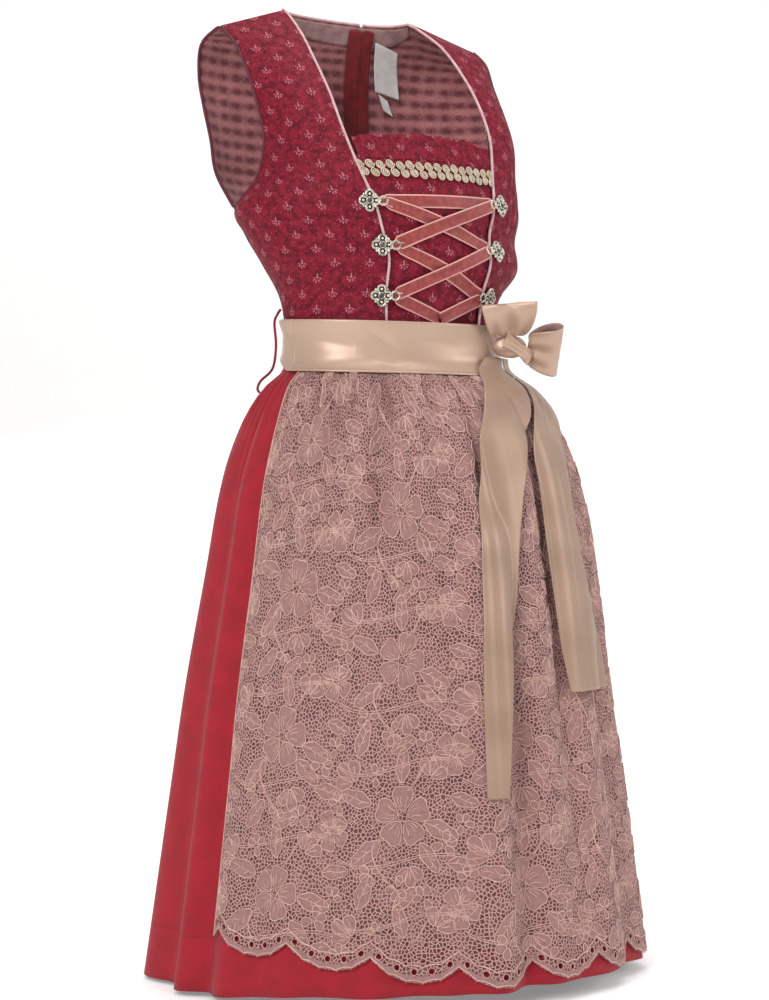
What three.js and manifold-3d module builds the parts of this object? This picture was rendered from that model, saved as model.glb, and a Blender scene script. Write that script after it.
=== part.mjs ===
// A dirndl as it is worn, with nobody in it: laced bodice, gathered skirt and a lace apron with a bow.
// Millimetres, +Z up, -Y towards the front, +X towards the wearer's left.
// The origin is midway between the two shoulder neck points.
import * as THREE from 'three';
import { mergeVertices } from 'three/addons/utils/BufferGeometryUtils.js';
import Module from 'manifold-3d';

const wasm = await Module();
wasm.setup();

// Cloth thickness and the gap that parted pieces keep
const BODICE_CLOTH = 1.6;
const SKIRT_CLOTH = 1.5;
const LINING_CLOTH = 1.0;
const LACE_CLOTH = 1.2;
const SATIN = 1.2;
const RIBBON = 0.8;
const SEAM = 0.3;

// How far each layer of the apron stands off the skirt under it
const LINING_OUT = 2.8;
const LACE_OUT = 5.2;
const TAIL_OUT = 9.4;

const WAIST_SEAM = -397;
const SHOULDER_GAP = 3.2;
const PIPING_RADIUS = 1.6;
const BINDING_RADIUS = 1.8;
const RIBBON_WIDTH = 15;
const BAND_HEIGHT = 58;
const FOLDS_ROUND_SKIRT = 20;
const SCALLOP_DEGREES = 19;
const SCALLOP_DEPTH = 22;
const EYELETS_IN_SCALLOP = 5;
const EYELET_RADIUS = 3.1;

// Level rings of the garment from the armpit to the hem: centre, half width, front and back depth
const rings = [
  { z: -236, midX: 22.5, midY: -36, wide: 176, front: 127, back: 112 },
  { z: -266, midX: 25.5, midY: -40, wide: 167, front: 117, back: 110 },
  { z: -300, midX: 34, midY: -48, wide: 157, front: 112, back: 108 },
  { z: -340, midX: 29.5, midY: -53, wide: 132.5, front: 98, back: 100 },
  { z: -370, midX: 31, midY: -56, wide: 130, front: 94, back: 97 },
  { z: -400, midX: 31, midY: -58, wide: 129, front: 92, back: 95 },
  { z: -418, midX: 31.5, midY: -59, wide: 132.5, front: 95, back: 98 },
  { z: -440, midX: 38, midY: -59, wide: 159, front: 118, back: 122 },
  { z: -480, midX: 42, midY: -60, wide: 185, front: 150, back: 152 },
  { z: -545, midX: 44, midY: -61, wide: 209, front: 172, back: 174 },
  { z: -650, midX: 44.5, midY: -62, wide: 228, front: 191, back: 192 },
  { z: -780, midX: 39.5, midY: -62, wide: 245, front: 214, back: 214 },
  { z: -900, midX: 39.5, midY: -62, wide: 261, front: 231, back: 230 },
  { z: -1010, midX: 39.5, midY: -61, wide: 276, front: 247, back: 246 },
  { z: -1105, midX: 38, midY: -61, wide: 286, front: 260, back: 258 },
];

// Where the bodice seams stand on those rings, in degrees from the front towards the wearer's left
const seams = [
  { z: -236, right: -22.9, left: 32.8, side: 108, centreBack: 172.3, gap: 0.8 },
  { z: -266, right: -20.8, left: 32, side: 105, centreBack: 174, gap: 0.5 },
  { z: -300, right: -22.5, left: 29.8, side: 102, centreBack: 178.6, gap: 0 },
  { z: -340, right: -24.3, left: 35.8, side: 99, centreBack: 177.6, gap: 0 },
  { z: -397, right: -24.7, left: 33, side: 97, centreBack: 179.1, gap: 0 },
];

// Rows above the armpit: inner edge, outer edge at the armhole, and the plan headings between them
const frontRight = [
  { inX: -82, inY: -1, inZ: 0, outX: -158, outY: 6, outZ: -24, leave: 0, arrive: 0 },
  { inX: -75, inY: -28, inZ: -30, outX: -147, outY: -12, outZ: -46, leave: 0, arrive: 30 },
  { inX: -73, inY: -60, inZ: -67, outX: -139, outY: -24, outZ: -75, leave: 2, arrive: 50 },
  { inX: -71, inY: -93, inZ: -108, outX: -133, outY: -36, outZ: -112, leave: 5, arrive: 66 },
  { inX: -68, inY: -118, inZ: -150, outX: -125, outY: -40, outZ: -155, leave: 10, arrive: 80 },
  { inX: -60, inY: -136, inZ: -190, outX: -127, outY: -27, outZ: -198, leave: 14, arrive: 90 },
];
const frontLeft = [
  { inX: 86, inY: -1, inZ: 0, outX: 173, outY: 4, outZ: -24, leave: 0, arrive: 0 },
  { inX: 113, inY: -26, inZ: -28, outX: 182, outY: -12, outZ: -42, leave: 0, arrive: 30 },
  { inX: 123, inY: -58, inZ: -64, outX: 182, outY: -30, outZ: -72, leave: 2, arrive: 50 },
  { inX: 127, inY: -91, inZ: -105, outX: 186, outY: -46, outZ: -108, leave: 4, arrive: 70 },
  { inX: 128, inY: -117, inZ: -150, outX: 187, outY: -50, outZ: -152, leave: 6, arrive: 92 },
  { inX: 125, inY: -128, inZ: -192, outX: 188, outY: -31, outZ: -198, leave: 8, arrive: 98 },
];
const backRight = [
  { inX: 42, inY: 57, inZ: -38, outX: -170, outY: 34, outZ: -42, leave: 0, arrive: 26 },
  { inX: 46, inY: 69, inZ: -76, outX: -165, outY: 53, outZ: -76, leave: 0, arrive: 30 },
  { inX: 50, inY: 75, inZ: -112, outX: -157, outY: 58, outZ: -110, leave: 0, arrive: 36 },
  { inX: 52, inY: 78, inZ: -150, outX: -149, outY: 57, outZ: -148, leave: 0, arrive: 44 },
  { inX: 51, inY: 77, inZ: -193, outX: -151, outY: 38, outZ: -190, leave: 4, arrive: 62 },
];
const backLeft = [
  { inX: 42, inY: 57, inZ: -38, outX: 191, outY: 30, outZ: -42, leave: 0, arrive: 32 },
  { inX: 46, inY: 69, inZ: -76, outX: 203, outY: 38, outZ: -76, leave: 0, arrive: 38 },
  { inX: 50, inY: 75, inZ: -112, outX: 209, outY: 33, outZ: -110, leave: 0, arrive: 46 },
  { inX: 52, inY: 78, inZ: -150, outX: 209, outY: 23, outZ: -148, leave: 0, arrive: 54 },
  { inX: 51, inY: 77, inZ: -193, outX: 201, outY: 11, outZ: -190, leave: 4, arrive: 68 },
];
const neckBack = { x: 39, y: 38, z: 0 };
const NECK_SHARE = 0.55;

// The insert between the front edges: how far its curve swells at each height, as plan headings
const insertSwell = [
  { z: -150, right: 18, left: 20 },
  { z: -192, right: 22, left: 26 },
  { z: -236, right: 19, left: 29 },
  { z: -300, right: 15, left: 24 },
  { z: -397, right: 19, left: 24 },
];
const INSERT_IN = 3.9;

// Fold height all round: depth grows from the gathers at the waist to the hem
const foldDepth = [
  { z: -400, deep: 0 },
  { z: -420, deep: 0.8 },
  { z: -440, deep: 3 },
  { z: -480, deep: 6 },
  { z: -545, deep: 9 },
  { z: -780, deep: 12 },
  { z: -1105, deep: 16 },
];
// Creases and ridges under the apron: place, spread, depth (a ridge is negative), top and bottom
const creases = [
  { phi: -70, spread: 4, deep: 7, top: -420, bottom: -1100 },
  { phi: -58, spread: 3.4, deep: 6, top: -400, bottom: -520 },
  { phi: -48, spread: 3.4, deep: 6, top: -400, bottom: -540 },
  { phi: -31, spread: 4, deep: 12, top: -410, bottom: -640 },
  { phi: -20, spread: 5, deep: 5, top: -600, bottom: -1100 },
  { phi: -5, spread: 6, deep: -15, top: -560, bottom: -1105 },
  { phi: 1, spread: 3.4, deep: 10, top: -415, bottom: -580 },
  { phi: 5, spread: 4, deep: 11, top: -640, bottom: -1105 },
  { phi: 24, spread: 4.2, deep: 13, top: -420, bottom: -1050 },
  { phi: 42, spread: 4, deep: 6, top: -700, bottom: -1105 },
  { phi: 64, spread: 4, deep: 9, top: -430, bottom: -1105 },
];
const skirtHem = [
  { z: 0, phi: -180, hem: -1103 },
  { z: 0, phi: -78, hem: -1101 },
  { z: 0, phi: -45, hem: -1089 },
  { z: 0, phi: 35, hem: -1088 },
  { z: 0, phi: 78, hem: -1102 },
  { z: 0, phi: 180, hem: -1103 },
];
const laceHem = [
  { phi: -76, hem: -1044 },
  { phi: -40, hem: -1060 },
  { phi: -15, hem: -1077 },
  { phi: 15, hem: -1081 },
  { phi: 76, hem: -1088 },
];

const COLUMNS_IN_HALF = 46;
const STEP = 180 / COLUMNS_IN_HALF;
const SKIRT_LEVELS = [WAIST_SEAM - SEAM - 0.1, -422, -445, -485, -560, -700, -860];
const APRON_LEVELS = SKIRT_LEVELS.slice(1);
const FALL_FROM = -860;
const APRON_EDGE = 74;

const rad = THREE.MathUtils.degToRad;
const mix = THREE.MathUtils.lerp;

function hermite(a, b, slopeA, slopeB, t) {
  const t2 = t * t;
  const t3 = t2 * t;
  return a * (2 * t3 - 3 * t2 + 1) + slopeA * (t3 - 2 * t2 + t) + b * (3 * t2 - 2 * t3) + slopeB * (t3 - t2);
}

// Reads one column of a table, smoothly between its rows, by the named key column
function read(table, column, value, key = 'z') {
  const last = table.length - 1;
  const down = table[last][key] < table[0][key] ? -1 : 1;
  if (value * down <= table[0][key] * down) return table[0][column];
  if (value * down >= table[last][key] * down) return table[last][column];
  let k = 0;
  while (value * down > table[k + 1][key] * down) k += 1;
  const slope = (i) => {
    const before = table[Math.max(i - 1, 0)];
    const after = table[Math.min(i + 1, last)];
    return (after[column] - before[column]) / (after[key] - before[key]);
  };
  const span = table[k + 1][key] - table[k][key];
  const t = (value - table[k][key]) / span;
  return hermite(table[k][column], table[k + 1][column], slope(k) * span, slope(k + 1) * span, t);
}

function ringPoint(phi, z, out = 0) {
  const sine = Math.sin(rad(phi));
  const cosine = Math.cos(rad(phi));
  const depth = read(rings, cosine > 0 ? 'front' : 'back', z);
  const x = read(rings, 'midX', z) + (read(rings, 'wide', z) + out) * sine;
  const y = read(rings, 'midY', z) - (depth + out) * cosine;
  return new THREE.Vector3(x, y, z);
}

function fold(phi, z) {
  const wander = phi + 5 * Math.sin(rad(2 * phi + 40)) + 3 * Math.sin(rad(5 * phi + 10));
  const wave = 0.7 * Math.cos(rad(FOLDS_ROUND_SKIRT * wander)) + 0.3 * Math.cos(rad(11 * wander + 50));
  const underApron = THREE.MathUtils.smoothstep(Math.abs(phi), 62, 84);
  let height = wave * read(foldDepth, 'deep', z) * mix(0.3, 1, underApron);
  for (const crease of creases) {
    const near = Math.exp(-(((phi - crease.phi) / crease.spread) ** 2));
    const starts = THREE.MathUtils.smoothstep(crease.top - z, 0, 60);
    const ends = THREE.MathUtils.smoothstep(z - crease.bottom, -40, 60);
    height -= crease.deep * near * starts * ends;
  }
  return height;
}

function skirtHemAt(phi) {
  return read(skirtHem, 'hem', phi > 180 ? phi - 360 : phi, 'phi');
}

// A point of the skirt, or of a layer standing off it; below the last level the folds fall straight
function skirtPoint(phi, z, out = 0) {
  const turned = phi > 180 ? phi - 360 : phi;
  if (z >= FALL_FROM) return ringPoint(turned, z, fold(turned, z) + out);
  const hem = skirtHemAt(phi);
  const top = ringPoint(turned, FALL_FROM, fold(turned, FALL_FROM) + out);
  return top.lerp(ringPoint(turned, hem, fold(turned, hem) + out), (z - FALL_FROM) / (hem - FALL_FROM));
}

// The height at a place t down a list of levels that ends at a hem
function levelAt(levels, hem, t) {
  const all = [...levels, hem];
  const place = THREE.MathUtils.clamp(t, 0, 1) * (all.length - 1);
  const k = Math.min(Math.floor(place), all.length - 2);
  return mix(all[k], all[k + 1], place - k);
}

// A row of a panel above the armpit, from its inner edge (s 0) to its armhole edge (s 1)
function acrossRow(row, side, turn, s) {
  const chord = Math.hypot(row.outX - row.inX, row.outY - row.inY);
  const pull = chord * (1 + 0.17 * ((row.arrive - row.leave) / 90) ** 2);
  const leave = rad(row.leave);
  const arrive = rad(row.arrive);
  const x = hermite(row.inX, row.outX, side * pull * Math.cos(leave), side * pull * Math.cos(arrive), s);
  const y = hermite(row.inY, row.outY, turn * pull * Math.sin(leave), turn * pull * Math.sin(arrive), s);
  return new THREE.Vector3(x, y, mix(row.inZ, row.outZ, s));
}

function neckAndShoulder(side, s) {
  const neckX = side < 0 ? frontRight[0].inX : frontLeft[0].inX;
  const tip = side < 0 ? frontRight[0] : frontLeft[0];
  const seamY = tip.inY + SHOULDER_GAP;
  if (s < NECK_SHARE) {
    const turn = rad((90 * s) / NECK_SHARE);
    return new THREE.Vector3(
      mix(neckBack.x, neckX, Math.sin(turn)),
      mix(seamY, neckBack.y, Math.cos(turn)),
      neckBack.z,
    );
  }
  const along = (s - NECK_SHARE) / (1 - NECK_SHARE);
  const x = mix(neckX, tip.outX, along);
  const y = mix(seamY, tip.outY + SHOULDER_GAP, along);
  return new THREE.Vector3(x, y, tip.outZ * along);
}

// The stations of each bodice panel from the shoulder down, each a curve from its inner edge outwards
function stations(panel) {
  const side = panel.endsWith('right') ? -1 : 1;
  const isFront = panel.startsWith('front');
  const rows = { front_right: frontRight, front_left: frontLeft, back_right: backRight, back_left: backLeft };
  const list = rows[panel].map((row) => (s) => acrossRow(row, side, isFront ? 1 : -1, s));
  if (!isFront) list.unshift((s) => neckAndShoulder(side, s));
  for (const seam of seams) {
    let from = side < 0 ? seam.right : seam.left;
    if (!isFront) from = side < 0 ? seam.centreBack - 360 : seam.centreBack;
    const to = side * (seam.side + (isFront ? -seam.gap : seam.gap));
    list.push((s) => ringPoint(mix(from, to, s), seam.z));
  }
  return list;
}

const panels = {};
for (const panel of ['front_right', 'front_left', 'back_right', 'back_left']) panels[panel] = stations(panel);

// A point of a bodice panel: s across from the inner edge, t down from the shoulder to the waist
function panelPoint(panel, s, t) {
  const list = panels[panel];
  const last = list.length - 1;
  const place = Math.min(Math.max(t, 0), 1) * last;
  const k = Math.min(Math.floor(place), last - 1);
  const [a, b, c, d] = [k - 1, k, k + 1, k + 2].map((i) => list[Math.min(Math.max(i, 0), last)](s));
  const share = place - k;
  const reach = (axis) =>
    hermite(b[axis], c[axis], (c[axis] - a[axis]) / 2, (d[axis] - b[axis]) / 2, share);
  return new THREE.Vector3(reach('x'), reach('y'), reach('z'));
}

function normalAt(surface, s, t, flip) {
  const e = 0.003;
  const across = surface(s + e, t).sub(surface(s - e, t));
  const down = surface(s, t + e).sub(surface(s, t - e));
  return across.cross(down).normalize().multiplyScalar(flip ? -1 : 1);
}

const PANEL_FLIP = { front_right: false, front_left: true, back_right: true, back_left: false };

function panelOff(panel, s, t, out) {
  const inside = THREE.MathUtils.clamp(t, 0.005, 0.995);
  const normal = normalAt((a, b) => panelPoint(panel, a, b), s, inside, PANEL_FLIP[panel]);
  return panelPoint(panel, s, t).addScaledVector(normal, out);
}

// The height on a panel's inner edge, found by halving
function edgeAt(panel, z) {
  let low = 0;
  let high = 1;
  for (let i = 0; i < 22; i += 1) {
    const mid = (low + high) / 2;
    if (panelPoint(panel, 0, mid).z > z) low = mid;
    else high = mid;
  }
  return high;
}

// A point of the insert: s from the wearer's right front edge to the left one
function insertPoint(s, z, out = 0) {
  const right = panelOff('front_right', 0, edgeAt('front_right', z), -INSERT_IN);
  const left = panelOff('front_left', 0, edgeAt('front_left', z), -INSERT_IN);
  const leave = rad(read(insertSwell, 'right', z));
  const arrive = rad(read(insertSwell, 'left', z));
  const pull = right.distanceTo(left) * 1.04;
  const x = hermite(right.x, left.x, pull * Math.cos(leave), pull * Math.cos(arrive), s);
  const y = hermite(right.y, left.y, -pull * Math.sin(leave), pull * Math.sin(arrive), s);
  const slope = mix(-leave, arrive, s);
  return new THREE.Vector3(x + out * Math.sin(slope), y - out * Math.cos(slope), z);
}

function closedMesh(points, faces) {
  const geometry = new THREE.BufferGeometry();
  const places = points.flatMap((p) => [p.x, p.y, p.z]);
  geometry.setAttribute('position', new THREE.Float32BufferAttribute(places, 3));
  geometry.setIndex(faces);
  geometry.computeVertexNormals();
  return geometry;
}

// A cloth wall: a grid of outer points, and the same grid moved in by the cloth's thickness
function wall(surface, across, down, thick, { flip = false, around = false } = {}) {
  const columns = around ? across : across + 1;
  const outer = [];
  const inner = [];
  for (let j = 0; j <= down; j += 1) {
    for (let i = 0; i < columns; i += 1) {
      const point = surface(i / across, j / down);
      outer.push(point);
      inner.push(point.clone().addScaledVector(normalAt(surface, i / across, j / down, flip), -thick));
    }
  }
  const count = outer.length;
  const faces = [];
  const tri = (a, b, c) => (flip ? faces.push(a, c, b) : faces.push(a, b, c));
  const id = (i, j) => j * columns + (i % columns);
  for (let j = 0; j < down; j += 1) {
    for (let i = 0; i < across; i += 1) {
      const [a, b, c, d] = [id(i, j), id(i + 1, j), id(i + 1, j + 1), id(i, j + 1)];
      tri(a, b, c);
      tri(a, c, d);
      tri(a + count, c + count, b + count);
      tri(a + count, d + count, c + count);
    }
  }
  const rim = (p, q) => {
    tri(q, p, p + count);
    tri(q, p + count, q + count);
  };
  for (let i = 0; i < across; i += 1) {
    rim(id(i, 0), id(i + 1, 0));
    rim(id(i + 1, down), id(i, down));
  }
  for (let j = 0; j < down && !around; j += 1) {
    rim(id(across, j), id(across, j + 1));
    rim(id(0, j + 1), id(0, j));
  }
  return closedMesh([...outer, ...inner], faces);
}

function circle(radius, sides) {
  const points = Array.from({ length: sides }, (_, i) => {
    const turn = (i / sides) * Math.PI * 2;
    return new THREE.Vector2(radius * Math.cos(turn), radius * Math.sin(turn));
  });
  return new THREE.Shape(points);
}

// A round cord along a path through its points
function cord(points, radius, steps, sides = 6) {
  const extrudePath = new THREE.CatmullRomCurve3(points, false, 'centripetal');
  return new THREE.ExtrudeGeometry(circle(radius, sides), { steps, bevelEnabled: false, extrudePath });
}

// A round cord that closes on itself, with its section set square to the path
function closedCord(points, radius, steps, sides = 6) {
  const path = new THREE.CatmullRomCurve3(points, true, 'centripetal');
  const frames = path.computeFrenetFrames(steps, true);
  const surface = (s, t, i) => {
    const turn = t * Math.PI * 2;
    const k = i % steps;
    return path
      .getPointAt(k / steps)
      .addScaledVector(frames.normals[k], radius * Math.cos(turn))
      .addScaledVector(frames.binormals[k], radius * Math.sin(turn));
  };
  const ring = [];
  const faces = [];
  for (let i = 0; i < steps; i += 1) {
    for (let j = 0; j < sides; j += 1) {
      ring.push(surface(0, j / sides, i));
      const [a, b] = [i * sides + j, i * sides + ((j + 1) % sides)];
      const [c, d] = [((i + 1) % steps) * sides + ((j + 1) % sides), ((i + 1) % steps) * sides + j];
      faces.push(a, b, c, a, c, d);
    }
  }
  return closedMesh(ring, faces);
}

function solid(geometry) {
  const bare = geometry.clone();
  bare.deleteAttribute('normal');
  bare.deleteAttribute('uv');
  const merged = mergeVertices(bare, 1e-4);
  const mesh = new wasm.Mesh({
    numProp: 3,
    vertProperties: new Float32Array(merged.attributes.position.array),
    triVerts: new Uint32Array(merged.index.array),
  });
  return new wasm.Manifold(mesh);
}

function geometryOf(body) {
  const mesh = body.getMesh();
  const geometry = new THREE.BufferGeometry();
  geometry.setAttribute('position', new THREE.BufferAttribute(new Float32Array(mesh.vertProperties), 3));
  geometry.setIndex(Array.from(mesh.triVerts));
  geometry.computeVertexNormals();
  return geometry;
}

const looks = {
  print: { color: 0x8c1932, roughness: 0.75 },
  piping: { color: 0xcda5a5, roughness: 0.6 },
  binding: { color: 0x501432, roughness: 0.7 },
  facing: { color: 0x967373, roughness: 0.8 },
  zip: { color: 0x730f14, roughness: 0.7 },
  label: { color: 0xcdc8c8, roughness: 0.7 },
  braid: { color: 0xcdbea5, roughness: 0.8 },
  silver: { color: 0xd7cdbe, roughness: 0.35, metalness: 1 },
  ribbon: { color: 0xaf4b46, roughness: 0.6 },
  satin: { color: 0xc3a58c, roughness: 0.35 },
  skirt: { color: 0xa0192d, roughness: 0.85 },
  lace: { color: 0xb98c87, roughness: 0.8 },
  lining: { color: 0x967378, roughness: 0.75 },
};

const dirndl = new THREE.Group();

function add(name, look, geometry) {
  const mesh = new THREE.Mesh(geometry, new THREE.MeshStandardMaterial({ metalness: 0, ...looks[look] }));
  mesh.name = name;
  dirndl.add(mesh);
}

// The bodice: four panels that meet at the centre back and the side seams
const EDGE = 0.003;
const PANEL_COLUMNS = { front: 8, back: 9 };
function addBodice() {
  for (const panel of Object.keys(panels)) {
    const isFront = panel.startsWith('front');
    const columns = isFront ? PANEL_COLUMNS.front : PANEL_COLUMNS.back;
    const surface = (s, t) => panelPoint(panel, mix(EDGE, 1 - EDGE, s), t);
    add(`bodice_${panel}`, 'print', wall(surface, columns, 17, BODICE_CLOTH, { flip: PANEL_FLIP[panel] }));
  }
}

const INSERT_TOP = -184;
const RUFFLE_TOP = -164;
const RUFFLE_WAVES = 15;
const BRAID = { top: -190, bottom: -207 };
function addInsert() {
  const height = (t) => mix(INSERT_TOP, WAIST_SEAM + 1, t);
  const surface = (s, t) => insertPoint(s, height(t));
  add('bodice_insert', 'print', wall(surface, 10, 9, BODICE_CLOTH, { flip: true }));
  const ruffle = (s, t) => {
    const wave = Math.cos(Math.PI * 2 * RUFFLE_WAVES * (s + 0.012 * Math.sin(9 * s)));
    const ripple = wave * mix(2.6, 0.3, t);
    const top = RUFFLE_TOP + 2 * Math.sin(17 * s);
    return insertPoint(mix(0.04, 0.96, s), mix(top, INSERT_TOP + 0.5, t), ripple);
  };
  add('insert_ruffle', 'print', wall(ruffle, RUFFLE_WAVES * 4, 1, 1, { flip: true }));
  const braid = (s, t) => insertPoint(mix(0.03, 0.97, s), mix(BRAID.top, BRAID.bottom, t), 1.9);
  add('insert_braid', 'braid', wall(braid, 20, 1, 1.5, { flip: true }));
}

// A point just past a panel's edge, square to that edge and level with the middle of its cloth
function pastEdge(panel, s, t, edge, reach) {
  const e = 0.02;
  const middle = (a, b) => panelOff(panel, a, b, -BODICE_CLOTH / 2);
  const inside = edge === 'top' ? middle(s, t + e) : middle(s < 0.5 ? s + e : s - e, t);
  const acrossEdge = middle(s + e, t).sub(middle(s - e, t));
  const downEdge = middle(s, t + e).sub(middle(s, t - e));
  const along = edge === 'top' ? acrossEdge : downEdge;
  const place = middle(s, t);
  const away = place.clone().sub(inside).projectOnPlane(along.normalize()).normalize();
  return place.addScaledVector(away, reach);
}

// The piping lies just past the front edge, then follows the neckline to the centre back
function addPiping() {
  for (const side of ['right', 'left']) {
    const front = `front_${side}`;
    const back = `back_${side}`;
    const points = [];
    const reach = PIPING_RADIUS + 3 * SEAM;
    const nearCorner = (i) => reach + 1.6 * Math.exp(-((i / 2) ** 2));
    for (let i = 0; i <= 22; i += 1) {
      points.push(pastEdge(front, 0, mix(0.995, 0.02, i / 22), 'side', nearCorner(22 - i)));
    }
    for (let i = 1; i <= 7; i += 1) {
      points.push(pastEdge(back, mix(NECK_SHARE, 0.015, i / 7), 0, 'top', nearCorner(i)));
    }
    add(`piping_${side}`, 'piping', cord(points, PIPING_RADIUS, 40));
  }
}

const ARMPIT_FRONT = 6 / 10;
const ARMPIT_BACK = 6 / 10;
function addArmholeBindings() {
  for (const side of ['right', 'left']) {
    const points = [];
    const past = (panel, t) => pastEdge(panel, 1, t, 'side', BINDING_RADIUS + 3.2 * SEAM);
    for (let i = 0; i <= 11; i += 1) {
      points.push(past(`front_${side}`, mix(ARMPIT_FRONT - 0.035, 0.015, i / 11)));
    }
    for (let i = 0; i <= 11; i += 1) {
      points.push(past(`back_${side}`, mix(0.015, ARMPIT_BACK - 0.035, i / 11)));
    }
    const lowest = points[0].clone().lerp(points[points.length - 1], 0.5);
    lowest.z += 0.6;
    points.push(lowest);
    add(`armhole_binding_${side}`, 'binding', closedCord(points, BINDING_RADIUS, 38, 5));
  }
}

// Inside the back neck: a facing, the zip's tape over it at the centre back, and two blank labels
const FACING_T = 0.052;
const ZIP = { half: 16, top: 0.012, bottom: 0.72 };
function backInside(offset, t, inward) {
  const side = offset < 0 ? 'right' : 'left';
  const panel = `back_${side}`;
  const reach = panelPoint(panel, 0, t).distanceTo(panelPoint(panel, 0.2, t)) / 0.2;
  return panelOff(panel, Math.abs(offset) / reach, t, -inward);
}
function addBackNeck() {
  const facing = (s, t) => {
    const side = s < 0.5 ? 'back_right' : 'back_left';
    const reach = Math.abs(2 * s - 1) * (NECK_SHARE - 0.03);
    return panelOff(side, reach, mix(0.006, FACING_T, t), -(BODICE_CLOTH + SEAM + 0.1));
  };
  add('neck_facing', 'facing', wall(facing, 20, 2, 1));
  const zip = (s, t) => {
    const peak = 0.012 * Math.abs(Math.abs(2 * s - 1) - 0.5) * Math.max(0, 1 - 12 * t);
    const z = mix(ZIP.top, ZIP.bottom, t) + peak;
    return backInside(mix(-ZIP.half, ZIP.half, s), z, BODICE_CLOTH + SEAM + 1.7);
  };
  add('zip_tape', 'zip', wall(zip, 4, 12, 1.1));
  const neckLabel = (s, t) => backInside(mix(20, 54, s), mix(0.045, 0.185, t), BODICE_CLOTH + SEAM + 1.8);
  add('neck_label', 'label', wall(neckLabel, 3, 3, 0.8));
  const sizeLabel = (s, t) => backInside(mix(30, 43, s), mix(0.187, 0.242, t), BODICE_CLOTH + SEAM + 1.8);
  add('size_label', 'label', wall(sizeLabel, 1, 1, 0.8));
}

// A pressed flower with a centre stud and a lacing ring, lying flat with its ring towards +X
const FLOWER_RADIUS = 13;
const RING_AT = 15.5;
function hookGeometry() {
  const outline = Array.from({ length: 24 }, (_, i) => {
    const turn = (i / 24) * Math.PI * 2;
    const r = FLOWER_RADIUS * (0.8 + 0.2 * Math.abs(Math.sin(2 * turn)));
    return new THREE.Vector2(r * Math.cos(turn), r * Math.sin(turn));
  });
  const flower = new THREE.ExtrudeGeometry(new THREE.Shape(outline), { depth: 1.8, bevelEnabled: false });
  const studRows = [[0, 1], [3.6, 1], [3.6, 2.6], [2.2, 3.8], [0, 4.2]];
  const studProfile = studRows.map(([radius, height]) => new THREE.Vector2(radius, height));
  const stud = new THREE.LatheGeometry(studProfile, 8);
  stud.rotateX(Math.PI / 2);
  const ring = new THREE.TorusGeometry(4.7, 1.3, 5, 10);
  ring.translate(RING_AT, 0, 1.5);
  return geometryOf(solid(flower).add(solid(stud)).add(solid(ring)));
}

const hookHeights = { right: [-237, -285, -340], left: [-231, -284, -336] };
const HOOK_IN_FROM_EDGE = { right: 4, left: 7 };
const HOOK_OUT = { right: [1.2, 1.4, 2.4], left: [1.5, 1.4, 2.7] };
const ringCentres = {};
function addHooks() {
  const shape = hookGeometry();
  for (const side of ['right', 'left']) {
    const panel = `front_${side}`;
    ringCentres[side] = [];
    hookHeights[side].forEach((z, index) => {
      const t = edgeAt(panel, z);
      const edge = panelPoint(panel, 0, t);
      const reach = edge.distanceTo(panelPoint(panel, 0.1, t)) / 0.1;
      const s = HOOK_IN_FROM_EDGE[side] / reach;
      const place = panelOff(panel, s, t, HOOK_OUT[side][index]);
      const normal = normalAt((a, b) => panelPoint(panel, a, b), s, t, PANEL_FLIP[panel]);
      const inward = edge.clone().sub(panelPoint(panel, 0.05, t)).projectOnPlane(normal).normalize();
      const basis = new THREE.Matrix4().makeBasis(inward, normal.clone().cross(inward), normal);
      basis.setPosition(place);
      const mesh = new THREE.Mesh(shape, new THREE.MeshStandardMaterial({ ...looks.silver }));
      mesh.name = `hook_${side}_${index + 1}`;
      mesh.applyMatrix4(basis);
      dirndl.add(mesh);
      ringCentres[side].push(place.clone().addScaledVector(inward, RING_AT));
    });
  }
}

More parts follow.
